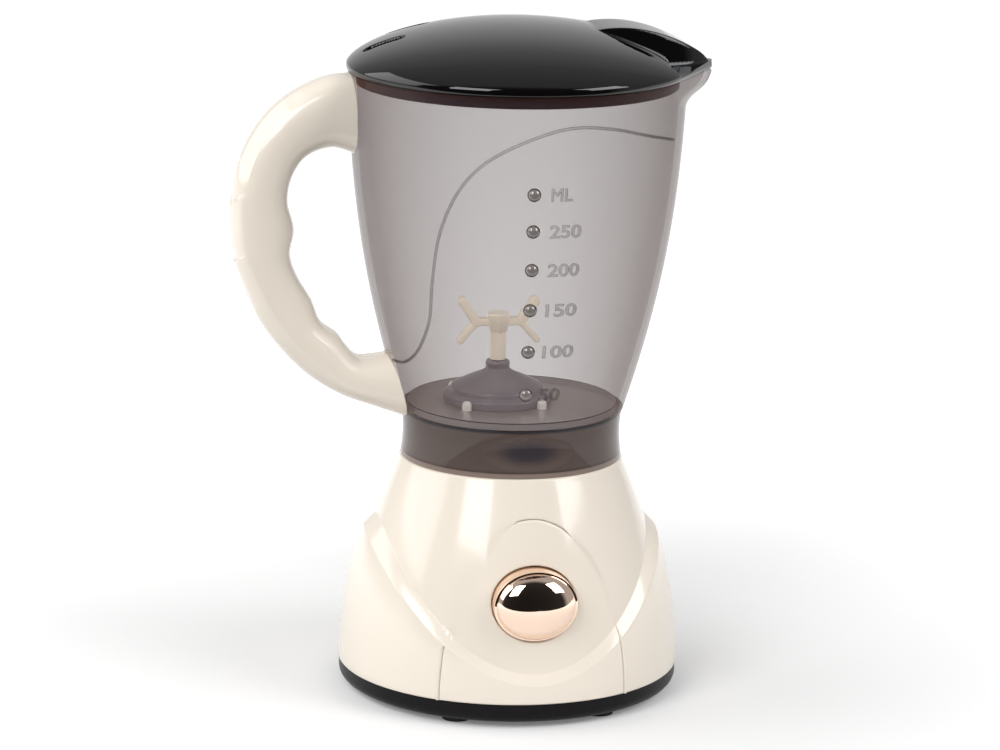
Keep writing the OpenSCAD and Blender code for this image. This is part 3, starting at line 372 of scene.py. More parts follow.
slot_finish = {
    "screw_steel": material("screw_zinc", (0.6, 0.6, 0.61), 0.3, metallic=1.0, grain=0.4, mottle=0.1),
    "spring_steel": material("spring_nickel", (0.66, 0.65, 0.62), 0.22, metallic=1.0, grain=0.2),
    "battery_sleeve": material("cell_sleeve", (0.06, 0.16, 0.09), 0.28, coat=0.3),
    "motor_steel": material("motor_can_steel", (0.56, 0.56, 0.58), 0.35, metallic=1.0, grain=0.5,
                            mottle=0.08),
    "gear_plastic": material("gear_acetal", (0.80, 0.78, 0.71), 0.4, grain=0.15),
    "frame_plastic": material("frame_moulding", (0.55, 0.55, 0.54), 0.45, grain=0.3),
    "bearing_bronze": material("bush_bronze", (0.55, 0.36, 0.16), 0.4, metallic=1.0, grain=0.6, mottle=0.15),
    "coupling_plastic": material("coupling_acetal", (0.05, 0.05, 0.055), 0.42, grain=0.2),
    "switch_plastic": material("switch_body", (0.04, 0.05, 0.06), 0.4, grain=0.2),
    "wire_sleeve": material("wire_insulation", (0.45, 0.03, 0.025), 0.45, grain=0.1),
    "cream_plastic": cream, "black_plastic": black_gloss, "plate_black": plate_black,
    "rubber_black": rubber, "rose_mirror": mirror, "white_plastic": white_part,
    "smoke_clear": smoke_floor, "seat_grey": seat_grey, "plug_grey": plug_grey,
}
slots = {s["node"]: s["material_slot"] for s in frame["record"]["subparts"]}
for name, ob in frame["nodes"].items():
    ob.data.materials.clear()
    ob.data.materials.append(slot_finish[slots[name]])


# ---- base ---------------------------------------------------------------------------------
WALL = 2.2
cone_pts = bezier([(46.5, 7), (47.3, 28.6), (39.9, 46.6), (31.5, 67)], 80)
skirt_pts = bezier([(48.5, 7), (49.0, 19.2), (44.5, 46.4), (39.0, 50.3)], 80)
# The wave that ends the skirt: lowest height over the plate, rise to the sides, and share of a second wave
WAVE_LOW, WAVE_RISE, WAVE_SECOND = 8.4, 34.9, 0.04
BEVEL_MIN, BEVEL_CREASE = 3.0, 0.15


def cone_r(z):
    return np.interp(z, cone_pts[:, 1], cone_pts[:, 0])


def skirt_r(z):
    return np.interp(z, skirt_pts[:, 1], skirt_pts[:, 0])


def wave_z(a):
    return PLATE_TOP + WAVE_LOW + WAVE_RISE * (sin(a) ** 2 + WAVE_SECOND * sin(2 * a) ** 2)


def bevel_height(a):
    """Height of the bevel below the wave."""
    return BEVEL_MIN + sin(a) ** 2


def outer_r(a, z):
    """Outside of the housing at azimuth a from the front, and height z."""
    top = wave_z(a)
    t = np.clip((top - z) / bevel_height(a), 0, 1)
    s = t * (1 + BEVEL_CREASE - BEVEL_CREASE * t)
    return cone_r(z) * (1 - s) + skirt_r(z) * s


def azimuth_of(x, z):
    """Azimuth of the point of the housing's front with this x and z."""
    a = np.zeros_like(x)
    for _ in range(6):
        a = np.arcsin(np.clip(x / outer_r(a, z), -1, 1))
    return a


PANEL_W, PANEL_H = 26.4, 49.8
# Rounded edges, as (distance from the edge, depth): of the arch's seam, and of the hole for the button
SEAM_EDGE = ((0.0, 0.5), (0.12, 0.24), (0.3, 0.08), (0.55, 0.0))
HOLE_EDGE = ((0.0, 0.55), (0.08, 0.3), (0.25, 0.09), (0.55, 0.0))
# Deck and the low wall on it that centres the jug, as (radius, height), from the outside in
DECK_PROFILE = ((31.62, 66.75), (31.4, 66.93), (31.1, 67.0), (28.0, 67.0), (27.7, 67.2), (27.7, 70.6),
                (27.4, 71.0), (26.2, 71.0), (25.9, 70.7), (25.9, 67.2), (25.7, 67.0))
SHAFT_HOLE_R = 4.3


def build_housing():
    """Housing with the arch cut out of its front. Its rings run round the arch and the back."""
    theta = np.linspace(0, PI, 121)
    ex, ez = PANEL_W * cos(theta), PANEL_H * sin(theta)
    nx, nz = ex / PANEL_W ** 2, ez / PANEL_H ** 2
    nl = np.hypot(nx, nz)
    nx, nz = nx / nl, nz / nl
    foot = float(azimuth_of(np.array([PANEL_W]), np.array([PLATE_TOP]))[0])
    rest = np.linspace(foot, 2 * PI - foot, 470)[1:-1]
    rings = []
    for d, depth in SEAM_EDGE:
        x, z = ex + nx * d, PLATE_TOP + ez + nz * d
        a = np.concatenate([azimuth_of(x, z)[::-1], rest])
        z = np.concatenate([z[::-1], np.full(len(rest), PLATE_TOP + d)])
        rings.append((a, z, depth))
    arch, z0, _ = rings[-1]
    even = np.linspace(arch[0], arch[0] + 2 * PI, len(arch), endpoint=False)
    top = DECK_Z - 0.5
    bevel = (0.0, 0.04, 0.1, 0.25, 0.5, 0.75, 0.9, 0.96, 1.0)
    below = np.append(np.linspace(0.06, 0.95, 20), 0.985)
    above = np.append(0.006, np.linspace(0.03, 1.0, 24))
    steps = [(0, t) for t in below] + [(1, t) for t in bevel] + [(2, t) for t in above]
    for k, (band, t) in enumerate(steps):
        relax = smooth(k / (len(steps) - 1))
        a = arch * (1 - relax) + even * relax
        high = np.maximum(wave_z(a), z0 + 0.8)
        low = np.maximum(wave_z(a) - bevel_height(a), z0 + 0.4)
        start, end = ((z0, low), (low, high), (high, top))[band]
        rings.append((a, start + (end - start) * t, 0.0))
    points = [level_ring(a, outer_r(a, z) - depth, z) for a, z, depth in rings]
    points += [level_ring(even, r, z) for r, z in DECK_PROFILE]
    roof = DECK_Z - WALL
    points += [level_ring(even, SHAFT_HOLE_R, z, AXIS_X) for z in (DECK_Z, roof)]
    points.append(level_ring(even, cone_r(roof) - WALL, roof))
    z_low = rings[0][1]
    inner_steps = 12
    for k in range(1, inner_steps + 1):
        z = roof + (z_low - roof) * k / inner_steps
        relax = smooth(k / inner_steps)
        a = even * (1 - relax) + rings[0][0] * relax
        points.append(level_ring(a, cone_r(z) - WALL, z))
    verts, faces = rings_to_mesh(points, close_rows=True, caps=False)
    ob = mesh_object("housing_shell", verts, faces, cream, "base", ["base_housing"])
    fix_normals(ob)
    sharpen(ob, 50)


def wave_reach(ux, uz, start, share):
    """Distance from the button's centre to the bevel, share 0 at its top and 1 at its foot."""
    reach = 45.0
    near, far = start.copy(), start + reach
    for _ in range(26):
        mid = (near + far) / 2
        x, z = ux * mid, BUTTON_Z + uz * mid
        a = azimuth_of(x, z)
        under = z < wave_z(a) - bevel_height(a) * share
        near, far = np.where(under, near, mid), np.where(under, mid, far)
    return near


def build_panel():
    """Arched panel, as rings from the button's hole out to its edge, and back along its inside."""
    seam = 0.15
    sleeve_wall, sleeve_back = 1.6, -35.0
    w, h = PANEL_W - seam, PANEL_H - seam
    theta = np.linspace(0, PI, 261)
    bx, bz = w * cos(theta), PLATE_TOP + h * sin(theta)
    low = np.linspace(-w, w, 120)[1:-1]
    bx = np.concatenate([bx, low])
    bz = np.concatenate([bz, np.full(len(low), PLATE_TOP + 0.05)])
    dx, dz = bx, bz - BUTTON_Z
    dist = np.hypot(dx, dz)
    ux, uz = dx / dist, dz / dist
    rings = []

    def oval(a, b):
        return 1 / np.sqrt((ux / a) ** 2 + (uz / b) ** 2)

    def surface(rho, depth):
        x, z = ux * rho, BUTTON_Z + uz * rho
        a = azimuth_of(x, z)
        rings.append(level_ring(a, outer_r(a, z) - depth, z))

    def back(rho):
        x, z = ux * rho, BUTTON_Z + uz * rho
        r = cone_r(z) - WALL
        rings.append(np.c_[x, -np.sqrt(np.maximum(r * r - x * x, 1)), z])

    def flat(rho, y):
        rings.append(np.c_[ux * rho, np.full(len(ux), y), BUTTON_Z + uz * rho])
    hole, sleeve = oval(*HOLE), oval(HOLE[0] + sleeve_wall, HOLE[1] + sleeve_wall)
    for d, depth in HOLE_EDGE:
        surface(hole + d, depth)
    start, end = hole + HOLE_EDGE[-1][0], dist - SEAM_EDGE[-1][0]
    crease = wave_reach(ux, uz, start, 0.0)
    foot = wave_reach(ux, uz, start, 1.0)
    crease = np.minimum(crease, end - 0.5)
    foot = np.minimum(np.maximum(foot, crease + 0.2), end - 0.2)
    for low, high, shares in ((start, crease, np.append(np.linspace(0.03, 0.96, 44), (0.99, 1.0))),
                              (crease, foot, (0.04, 0.1, 0.25, 0.5, 0.75, 0.9, 0.96, 1.0)),
                              (foot, end, np.append(0.02, np.linspace(0.07, 1.0, 20)))):
        for t in shares:
            surface(low + (high - low) * t, 0.0)
    for d, depth in SEAM_EDGE[-2::-1]:
        surface(dist - d, depth)
    back(dist)
    back(sleeve)
    flat(sleeve, sleeve_back)
    flat(hole, sleeve_back)
    verts, faces = rings_to_mesh(rings, close_rows=True, caps=False)
    ob = mesh_object("arch_panel", verts, faces, cream, "base", ["front_panel"])
    fix_normals(ob)
    sharpen(ob, 50)


def build_button():
    """Oval cap with a mirror dome on its rim."""
    n = 160
    a = np.linspace(0, 2 * PI, n, endpoint=False)
    gap, rim, rim_y = 0.35, 0.94, -45.25
    dome_rise, dome_round, dome_full = 4.7, 2.3, 0.6
    hw, hh = HOLE[0] - gap, HOLE[1] - gap

    def ring(share, y):
        return np.c_[hw * share * cos(a), np.full(n, y), BUTTON_Z + hh * share * sin(a)]
    rings = [ring(s, y) for s, y in ((0.86, -45.0), (0.86, -34.8), (1.0, -34.8), (1.0, -44.7), (0.992, -45.0),
                                     (0.97, -45.1), (rim + 0.006, -45.15))]
    for rho in np.concatenate([[0.999, 0.995, 0.985, 0.97], np.linspace(0.95, 0.02, 44)]):
        rings.append(ring(rim * rho, rim_y - dome_rise * (1 - rho ** dome_round) ** dome_full))
    verts, faces = rings_to_mesh(rings)
    ob = mesh_object("button_dome", verts, faces, mirror, "button", ["button_cap"])
    fix_normals(ob)
    sharpen(ob, 50)


build_housing()
build_panel()
build_button()

# ---- jug ----------------------------------------------------------------------------------
JUG_H = MOUTH - FLOOR_LINE
jug_pts = bezier([(31.6, FLOOR_LINE), (42.1, FLOOR_LINE + 0.34 * JUG_H),
                  (46.5, FLOOR_LINE + 0.63 * JUG_H), (47.4, MOUTH)], 120)
SPOUT_Z, SPOUT_REACH, NOSE = 159.0, 55.3, 5.0
lip_pts = bezier([(46.4, SPOUT_Z), (46.5, 172.2), (53.5, 168.4), (SPOUT_REACH, MOUTH)], 80)
JUG_WALL = 2.0
# The collar: its narrowest radius and height, how fast it widens from there, and its widest radius
WAIST_R, WAIST_Z, WAIST_FLARE, COLLAR_R = 30.85, 74.5, 0.0116, 31.55
# The dimple in the collar's front: half width in degrees, half height and depth
DIMPLE_Z, DIMPLE_TURN, DIMPLE_HIGH, DIMPLE_DEPTH = 74.2, 24.5, 4.75, 1.1


def jug_r(z):
    z = np.asarray(z, float)
    collar = WAIST_R + WAIST_FLARE * (z - WAIST_Z) ** 2
    return np.where(z < FLOOR_LINE, np.minimum(collar, COLLAR_R), np.interp(z, jug_pts[:, 1], jug_pts[:, 0]))


def hull_r(phi, radius, centre, nose):
    """Radius in direction phi from the spout, of a circle pulled out to a round nose."""
    phi = np.abs(phi)
    if centre <= radius - nose + 1e-4:
        return np.full_like(phi, radius)
    lean = math.acos((radius - nose) / centre)
    tip = math.atan2(nose * sin(lean), centre + nose * cos(lean))
    inner = np.sqrt(np.maximum(nose ** 2 - (centre * sin(phi)) ** 2, 0))
    r = np.where(phi <= tip, centre * cos(phi) + inner, radius / np.maximum(cos(lean - phi), 0.2))
    return np.where(phi <= lean, r, radius)


def spout_angle(a):
    """Angle from +X of azimuth a, which is counted from the front."""
    return (a - PI / 2 + PI) % (2 * PI) - PI


def jug_ring(a, z, inset=0.0, dimple=False):
    r = np.full_like(a, float(jug_r(z)) - inset)
    if z > SPOUT_Z:
        reach = float(np.interp(z, lip_pts[:, 1], lip_pts[:, 0]))
        r = hull_r(spout_angle(a), float(jug_r(z)) - inset, reach - NOSE, NOSE - inset)
    if dimple:
        d = np.degrees((a + PI) % (2 * PI) - PI)
        inside = np.clip(1 - (d / DIMPLE_TURN) ** 2 - ((z - DIMPLE_Z) / DIMPLE_HIGH) ** 2, 0, 1)
        r = r - DIMPLE_DEPTH * inside ** 0.6
    return level_ring(a, r, z)


def build_jug():
    """Jug as rings up its outside, over the lip and down its inside, with a recess under its floor."""
    a = np.linspace(0, 2 * PI, 720, endpoint=False)
    rings = [jug_ring(a, COLLAR_Z, 0.35), jug_ring(a, COLLAR_Z + 0.05, 0.1)]
    rings += [jug_ring(a, z, 0, 69 < z < 79.5) for z in np.linspace(COLLAR_Z + 0.3, FLOOR_LINE - 0.25, 48)]
    rings += [jug_ring(a, FLOOR_LINE - 0.12, 0.12), jug_ring(a, FLOOR_LINE + 0.05, 0.12)]
    rings += [jug_ring(a, z) for z in np.linspace(FLOOR_LINE + 0.25, SPOUT_Z - 0.5, 60)]
    rings += [jug_ring(a, z) for z in np.linspace(SPOUT_Z + 0.2, MOUTH - 0.5, 30)]
    rings += [jug_ring(a, MOUTH - 0.15, 0.12), jug_ring(a, MOUTH, 0.45), jug_ring(a, MOUTH, 1.6)]
    rings += [jug_ring(a, z, JUG_WALL) for z in np.linspace(MOUTH - 0.4, SPOUT_Z + 0.2, 20)]
    rings += [jug_ring(a, z, JUG_WALL) for z in np.linspace(SPOUT_Z - 2.0, 83.5, 26)]
    floor_r = float(jug_r(FLOOR_LINE - 0.4)) - JUG_WALL
    ledge_r, ledge_z = 28.0, 80.6
    rings += [level_ring(a, r, z) for r, z in ((floor_r + 0.35, 82.75), (floor_r + 0.1, ledge_z),
                                               (ledge_r, ledge_z), (ledge_r, COLLAR_Z))]
    verts, faces = rings_to_mesh(rings, close_rows=True, caps=False)
    ob = mesh_object("jug_smoked", verts, faces, smoke, "jug", ["jug_shell"])
    fix_normals(ob)
    ob.data.materials.append(smoke_inside)
    ob.data.materials.append(smoke_collar)
    for face in ob.data.polygons:
        middle = face.center
        if middle.z < (FLOOR_LINE + 0.8) * MM:
            face.material_index = 2
        elif face.normal.x * middle.x + face.normal.y * middle.y < 0:
            face.material_index = 1
    sharpen(ob, 60)


def on_jug(az, z, out=0.0):
    r = float(jug_r(z)) + out
    a = math.radians(az)
    return np.array([r * sin(a), -r * cos(a), z])


def tube(name, path, radius, mat, body):
    """Round bar along a path."""
    sides = 10
    path = np.array(path, float)
    tang = np.gradient(path, axis=0)
    tang /= np.linalg.norm(tang, axis=1)[:, None]
    rings = []
    for p, t in zip(path, tang):
        out = np.array([p[0], p[1], 0.0])
        out /= np.linalg.norm(out) + 1e-9
        out = out - t * np.dot(out, t)
        out /= np.linalg.norm(out)
        side = np.cross(t, out)
        a = np.linspace(0, 2 * PI, sides, endpoint=False)
        rings.append(p + radius * (np.outer(cos(a), out) + np.outer(sin(a), side)))
    verts, faces = rings_to_mesh(rings)
    fix_normals(mesh_object(name, verts, faces, mat, body))


LABELS = ("50", "100", "150", "200", "250", "ML")
BEAD_FIRST, BEAD_STEP, BEAD_SHRINK = 11.2, 12.9, 0.65
BEAD_AZ, BEAD_R, BEAD_FLAT, BEAD_SINK = -3.8, 1.9, 0.85, 0.1


def bead_z(k):
    """Height of the bump of 50 ml times k + 1. The steps shrink as the jug widens."""
    return FLOOR_LINE + BEAD_FIRST + k * BEAD_STEP - BEAD_SHRINK * k * (k - 1) / 2


def build_beads():
    """Round bumps on the jug's front, one beside each label, each a dome square to the wall."""
    verts, faces = [], []
    n, m = 32, 12
    for k in range(len(LABELS)):
        z = bead_z(k)
        centre = on_jug(BEAD_AZ, z, -BEAD_SINK)
        out = on_jug(BEAD_AZ, z, 1.0) - on_jug(BEAD_AZ, z)
        slope = float(jug_r(z + 0.5) - jug_r(z - 0.5))
        out = out - np.array([0, 0, slope])
        out /= np.linalg.norm(out)
        side = np.cross(out, (0, 0, 1))
        side /= np.linalg.norm(side)
        up = np.cross(side, out)
        base = len(verts)
        for row in range(m):
            lat = PI / 2 * row / m
            for i in range(n):
                t = 2 * PI * i / n
                verts.append(centre + BEAD_R * (cos(lat) * (cos(t) * side + sin(t) * up)
                                                + sin(lat) * BEAD_FLAT * out))
        verts.append(centre + BEAD_R * BEAD_FLAT * out)
        faces += [tuple(base + v for v in face) for face in ring_faces(m, n)]
        tip, last = base + m * n, base + (m - 1) * n
        faces += [(last + i, last + (i + 1) % n, tip) for i in range(n)]
        faces.append(tuple(base + i for i in range(n))[::-1])
    ob = mesh_object("measuring_beads", verts, faces, bead_mat, "jug")
    fix_normals(ob)
    sharpen(ob, 60)


FIGURE_AZ, FIGURE_HIGH, FIGURE_WIDE, FIGURE_DROP = 2.1, 3.5, 2.95, 1.8
FIGURE_LIFT, FIGURE_SINK = 0.8, 0.02


def build_text(name, text, az, z):
    """Raised figures that follow the jug's wall."""
    capital = 0.7
    curve = bpy.data.curves.new(name, "FONT")
    curve.body = text
    curve.size = FIGURE_HIGH / capital
    curve.extrude = 0.25
    curve.bevel_depth = 0.1
    curve.bevel_resolution = 1
    curve.resolution_u = 6
    tmp = bpy.data.objects.new(name + "_curve", curve)
    bpy.context.scene.collection.objects.link(tmp)
    dg = bpy.context.evaluated_depsgraph_get()
    me = bpy.data.meshes.new_from_object(tmp.evaluated_get(dg))
    bpy.data.objects.remove(tmp)
    co = np.empty(len(me.vertices) * 3)
    me.vertices.foreach_get("co", co)
    co = co.reshape(-1, 3)
    co[:, 0] = (co[:, 0] - co[:, 0].min()) * FIGURE_WIDE * len(text) / np.ptp(co[:, 0])
    out = np.empty_like(co)
    for i, (x, y, d) in enumerate(co):
        r = float(jug_r(z + y)) + d * FIGURE_LIFT + FIGURE_SINK
        a = math.radians(az) + x / float(jug_r(z))
        out[i] = (r * sin(a), -r * cos(a), z + y)
    me.vertices.foreach_set("co", (out * MM).ravel())
    me.materials.clear()
    me.materials.append(ridge_mat)
    me.update()
    ob = bpy.data.objects.new(name, me)
    bpy.context.scene.collection.objects.link(ob)
    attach(ob, "jug")


# Raised line round the scale, as azimuth and height. Below it: how far it is shifted, and its radius
PANEL_LINE = [(60, 154), (42, 157.2), (25, 160.5), (10, 161.4), (-4, 158.2), (-18, 152), (-28, 143.3),
              (-35.5, 131), (-40, 117), (-43.5, 105), (-52, 95.6), (-63, 90.8), (-75, 89.7)]
LINE_TURN, LINE_UP, LINE_R = -1.8, 7, 0.42

build_jug()
path = spline([(az + LINE_TURN, z + LINE_UP) for az, z in PANEL_LINE], 10)
tube("panel_line", [on_jug(az, z) for az, z in path], LINE_R, ridge_mat, "jug")
build_beads()
for k, label in enumerate(LABELS):
    build_text("figure_" + label, label, FIGURE_AZ, bead_z(k) - FIGURE_DROP)

# ---- handle -------------------------------------------------------------------------------
# Outline of the handle in the plane of X and Z, with heights counted from the jug's floor line
GRIP_OUTER = [(-46, 95.6), (-55, 94.4), (-65.8, 88.7), (-73.5, 80.3), (-78.6, 68.5), (-80.1, 53), (-79, 43.5),
              (-76.2, 35), (-73, 27.5), (-68.5, 20.8), (-62.5, 14), (-56.4, 8.9), (-49, 4.6), (-40, 1.2),
              (-31, -2)]
GRIP_INNER = [(-46, 73.2), (-52.5, 75), (-59.3, 72.6), (-63.2, 67), (-64.4, 60), (-62.6, 52.2), (-63.6, 45),
              (-61.5, 38.6), (-57.6, 32), (-54.8, 25.6), (-50, 21.8), (-47.6, 18.6), (-44.2, 15.4),
              (-39.5, 15.5), (-34.5, 16.2)]
GRIP_STEPS = 24
GRIP_DEPTH, GRIP_WALL, GRIP_GAP, SEAM_SOFT = 9.0, 2.0, 0.03, 0.22
# Along the handle, counted in points of its outline: the flat leaf on its top, and the two moulded steps
LEAF = (1.3, 4.2)
# Angles between which the leaf is flat, and the two ends of the flat, as shares of half height and depth
LEAF_TURN = (0.18, 0.95)
LEAF_FROM, LEAF_TO = (0.985, 0.25), (0.64, 0.84)
MOULD_STEPS, MOULD_HIGH, MOULD_TURN = (4.6, 6.05), 0.5, 1.35
# Slant of a step over an angle, and how fast it rises, fades along the handle and ends round it
MOULD_SLANT, MOULD_SPAN, MOULD_RISE, MOULD_FADE, MOULD_END = 0.42, 1.3, 0.05, 0.5, 0.5


def mould_step(along, t):
    """Height of the low steps that run slantwise over the outside of the handle."""
    high = 0.0
    for place in MOULD_STEPS:
        past = along - (place - MOULD_SLANT * t / MOULD_SPAN)
        high = high + MOULD_HIGH * smooth(past / MOULD_RISE + 0.5) * math.exp(-max(past, 0) / MOULD_FADE)
    return high * smooth((MOULD_TURN - t) / MOULD_END)


def build_handle(side, name, replaced):
    """One half of the handle, on the side of the seam given by -1 or 1."""
    outer = spline(GRIP_OUTER, GRIP_STEPS)
    inner = spline(GRIP_INNER, GRIP_STEPS)
    n = len(outer)
    arc = 36
    square = 2 / 2.5
    rings = []
    for k in range(n):
        mid, half = (outer[k] + inner[k]) / 2, (outer[k] - inner[k]) / 2
        size = np.hypot(*half)
        along = k / GRIP_STEPS
        leaf = smooth((along - LEAF[0]) / 0.6) * smooth((LEAF[1] - along) / 0.5)
        pts = []
        for inset, angles in ((0.0, np.linspace(0, PI, arc + 1)),
                              (GRIP_WALL, np.linspace(PI, 0, arc // 2 + 1))):
            for i, t in enumerate(angles):
                c = np.sign(cos(t)) * abs(cos(t)) ** square
                y = abs(sin(t)) ** square if 0 < i < len(angles) - 1 else 0.0
                if LEAF_TURN[0] < t < LEAF_TURN[1]:
                    part = (t - LEAF_TURN[0]) / (LEAF_TURN[1] - LEAF_TURN[0])
                    flat_c = LEAF_FROM[0] + (LEAF_TO[0] - LEAF_FROM[0]) * part
                    flat_y = LEAF_FROM[1] + (LEAF_TO[1] - LEAF_FROM[1]) * part
                    c, y = c + (flat_c - c) * leaf, y + (flat_y - y) * leaf
                grow = (size - inset + (mould_step(along, t) if inset == 0 else 0.0)) / size
                if inset == 0 and (i == 0 or i == arc):
                    grow = 1 - SEAM_SOFT / size
                y = GRIP_GAP + (GRIP_DEPTH - inset) * y
                pts.append((mid[0] + half[0] * c * grow, y, mid[1] + half[1] * c * grow))
        pts = np.array(pts)
        pts[:, 2] += FLOOR_LINE
        if k == 0 or k == n - 1:
            r = jug_r(pts[:, 2]) + 0.12
            pts[:, 0] = -np.sqrt(r * r - pts[:, 1] ** 2)
        pts[:, 1] *= side
        rings.append(pts)
    verts, faces = rings_to_mesh(rings, caps=False)
    m = len(rings[0])
    for base in (0, (n - 1) * m):
        for i in range(arc // 2):
            a, b, c = base + 2 * i, base + 2 * i + 1, base + 2 * i + 2
            d, e = base + m - 1 - i, base + m - 2 - i
            faces += [(a, b, d), (b, c, e), (b, e, d)]
    ob = mesh_object(name, verts, faces, cream, "jug", [replaced])
    fix_normals(ob)
    sharpen(ob, 17)


build_handle(-1, "grip_front", "handle_front_half")
build_handle(1, "grip_rear", "handle_rear_half")

# ---- agitator -----------------------------------------------------------------------------
SEAT_Z = 82.65
# Outline of the seat, as radius, height and how far the corner is rounded
SEAT = ((1.3, 0, 0), (15.3, 0, 0.3), (15.3, 2.3, 0.5), (13.4, 2.8, 0.3), (13.2, 4.3, 0.6), (11.6, 5.1, 0.8),
        (8.0, 6.9, 0.8), (4.6, 8.3, 1.0), (3.3, 9.3, 0.5), (3.5, 10.6, 0.3), (3.2, 11.6, 0.4), (1.3, 11.6, 0))


def build_seat():
    outline = rounded([(r, z) for r, z, _ in SEAT], [soft for _, _, soft in SEAT], 5)
    rings = turned_rings([(r, z + SEAT_Z) for r, z in outline], 128, x=AXIS_X)
    verts, faces = rings_to_mesh(rings, close_rows=True, caps=False)
    fix_normals(mesh_object("seat_cone", verts, faces, seat_grey, "jug", ["agitator_seat"]))


def capsule(start, end, radius):
    """Outline of a bar with round ends, in the plane of X and Z."""
    steps = 10
    start, end = np.array(start, float), np.array(end, float)
    lean = math.atan2(end[1] - start[1], end[0] - start[0])
    points = []
    for at, base in ((end, lean - PI / 2), (start, lean + PI / 2)):
        for t in np.linspace(0, PI, steps):
            points.append(at + radius * np.array([math.cos(base + t), math.sin(base + t)]))
    return np.array(points)


def bar(start, end, thick, deep):
    """Flat prong from start to end, with rounded edges."""
    soft = 0.45
    rings = []
    for turn in np.linspace(0, PI / 2, 4):
        outline = capsule(start, end, thick / 2 - soft * (1 - sin(turn)))
        rings.append((outline, -deep / 2 + soft * (1 - cos(turn))))
    rings += [(o, -y) for o, y in rings[::-1]]
    return rings_to_mesh([np.c_[o[:, 0], np.full(len(o), y), o[:, 1]] for o, y in rings])


HUB = ((2.25, -3.0), (2.6, -2.6), (3.3, 0.4), (3.5, 0.9), (3.5, 2.3), (3.25, 2.6))
TUBE_R = 2.2


def build_blades():
    """Hub with two arms, each forked into a thick prong up and a thin one down."""
    fork, reach, deep = 6.4, 10.6, 3.2
    # Thickness of an arm and of its two prongs, and how far the prongs reach up and down
    arm, upper, lower, rise, drop = 2.1, 2.7, 1.8, 6.0, 5.2
    # The bars of an arm differ in depth, so that no two faces lie in one plane
    step = 0.16
    z = BLADE_Z
    parts = [rings_to_mesh(turned_rings([(TUBE_R, SEAT_TOP + 0.3), (TUBE_R, z - 2.6)], 48)),
             rings_to_mesh(turned_rings([(r, z + h) for r, h in HUB], 6, PI / 6))]
    for side in (-1, 1):
        parts += [bar((side * 1.5, z + 0.1), (side * fork, z + 0.1), arm, deep),
                  bar((side * fork, z + 0.1), (side * (reach - 0.3), z + rise), upper, deep + step),
                  bar((side * fork, z + 0.1), (side * (reach + 0.3), z - drop), lower, deep - step)]
    verts, faces, total = [], [], 0
    for v, f in parts:
        verts.append(v + np.array([AXIS_X, 0, 0]))
        faces += [tuple(i + total for i in face) for face in f]
        total += len(v)
    ob = mesh_object("agitator_arms", np.vstack(verts), faces, blade_lit_cream, "agitator", ["agitator_blades"])
    fix_normals(ob)
    sharpen(ob, 28)


build_seat()
build_blades()

# ---- lid ----------------------------------------------------------------------------------
TIP_R, PLUG_R = 3.2, 45.1
DOME_ROUND, DOME_FULL = 2.02, 2 / 3


def dome(rho):
    return LID_WIDE + DOME_H * (1 - np.clip(rho / LID_R, 0, 1) ** DOME_ROUND) ** DOME_FULL


def soft_max(a, b, blend):
    """The larger of two heights, with a fillet where they meet."""
    t = np.clip(0.5 + (a - b) / (2 * blend), 0, 1)
    return b + (a - b) * t + blend * t * (1 - t)


# Beak: start and length along X, half width of its crest, slope of its walls and length of the cut beside it
BEAK_X, BEAK_LEN, CREST_W, BEAK_WALL, CUT_LEN = 21.0, 34.3, 8.8, 5.0, 20.1
CREST_Z, CREST_X, CREST_BEND, NOSE_X, NOSE_BEND = 189.9, 27, 0.0132, 50, 0.061
# Half width of the cut at its start, how much it widens, how soon, and how much more at its end
CUT_W, CUT_OPEN, CUT_SOON, CUT_END = 8.5, 15.6, 3.8, 0.5
VALLEY_DEEP, VALLEY_TILT = 0.35, 0.06
# Rounding of the crest: least height, growth, and where along X it grows
CROWN, CROWN_GROW, CROWN_X, CROWN_LEN = 0.25, 0.9, 32, 14
# Fillets along the crest, in the valley and at the edge of the cut, and where the beak's start blends in
CREST_SOFT, VALLEY_SOFT, EDGE_SOFT, BLEND_BACK, BLEND_LEN = 0.25, 0.3, 0.3, 2.5, 4
SLOT_AT = ((-37.8, -0.9), (-29.0, 15.3))
SLOT_L, SLOT_W, SLOT_DEPTH, SLOT_TURN = 12.0, 4.8, 1.5, math.radians(-15)


def crest_width(x):
    u = np.clip((x - BEAK_X) / BEAK_LEN, 0, 0.999)
    return CREST_W * (1 - u ** 3.2) ** 0.6


def slot_cut(x, y):
    """Depth of the two shallow slots towards the handle."""
    depth = 0.0
    for sx, sy in SLOT_AT:
        along = (x - sx) * math.cos(SLOT_TURN) + (y - sy) * math.sin(SLOT_TURN)
        across = (y - sy) * math.cos(SLOT_TURN) - (x - sx) * math.sin(SLOT_TURN)
        past = np.maximum(np.abs(along) - (SLOT_L - SLOT_W) / 2, 0)
        depth = depth + SLOT_DEPTH * smooth((SLOT_W / 2 - np.hypot(past, across)) / 0.6)
    return depth


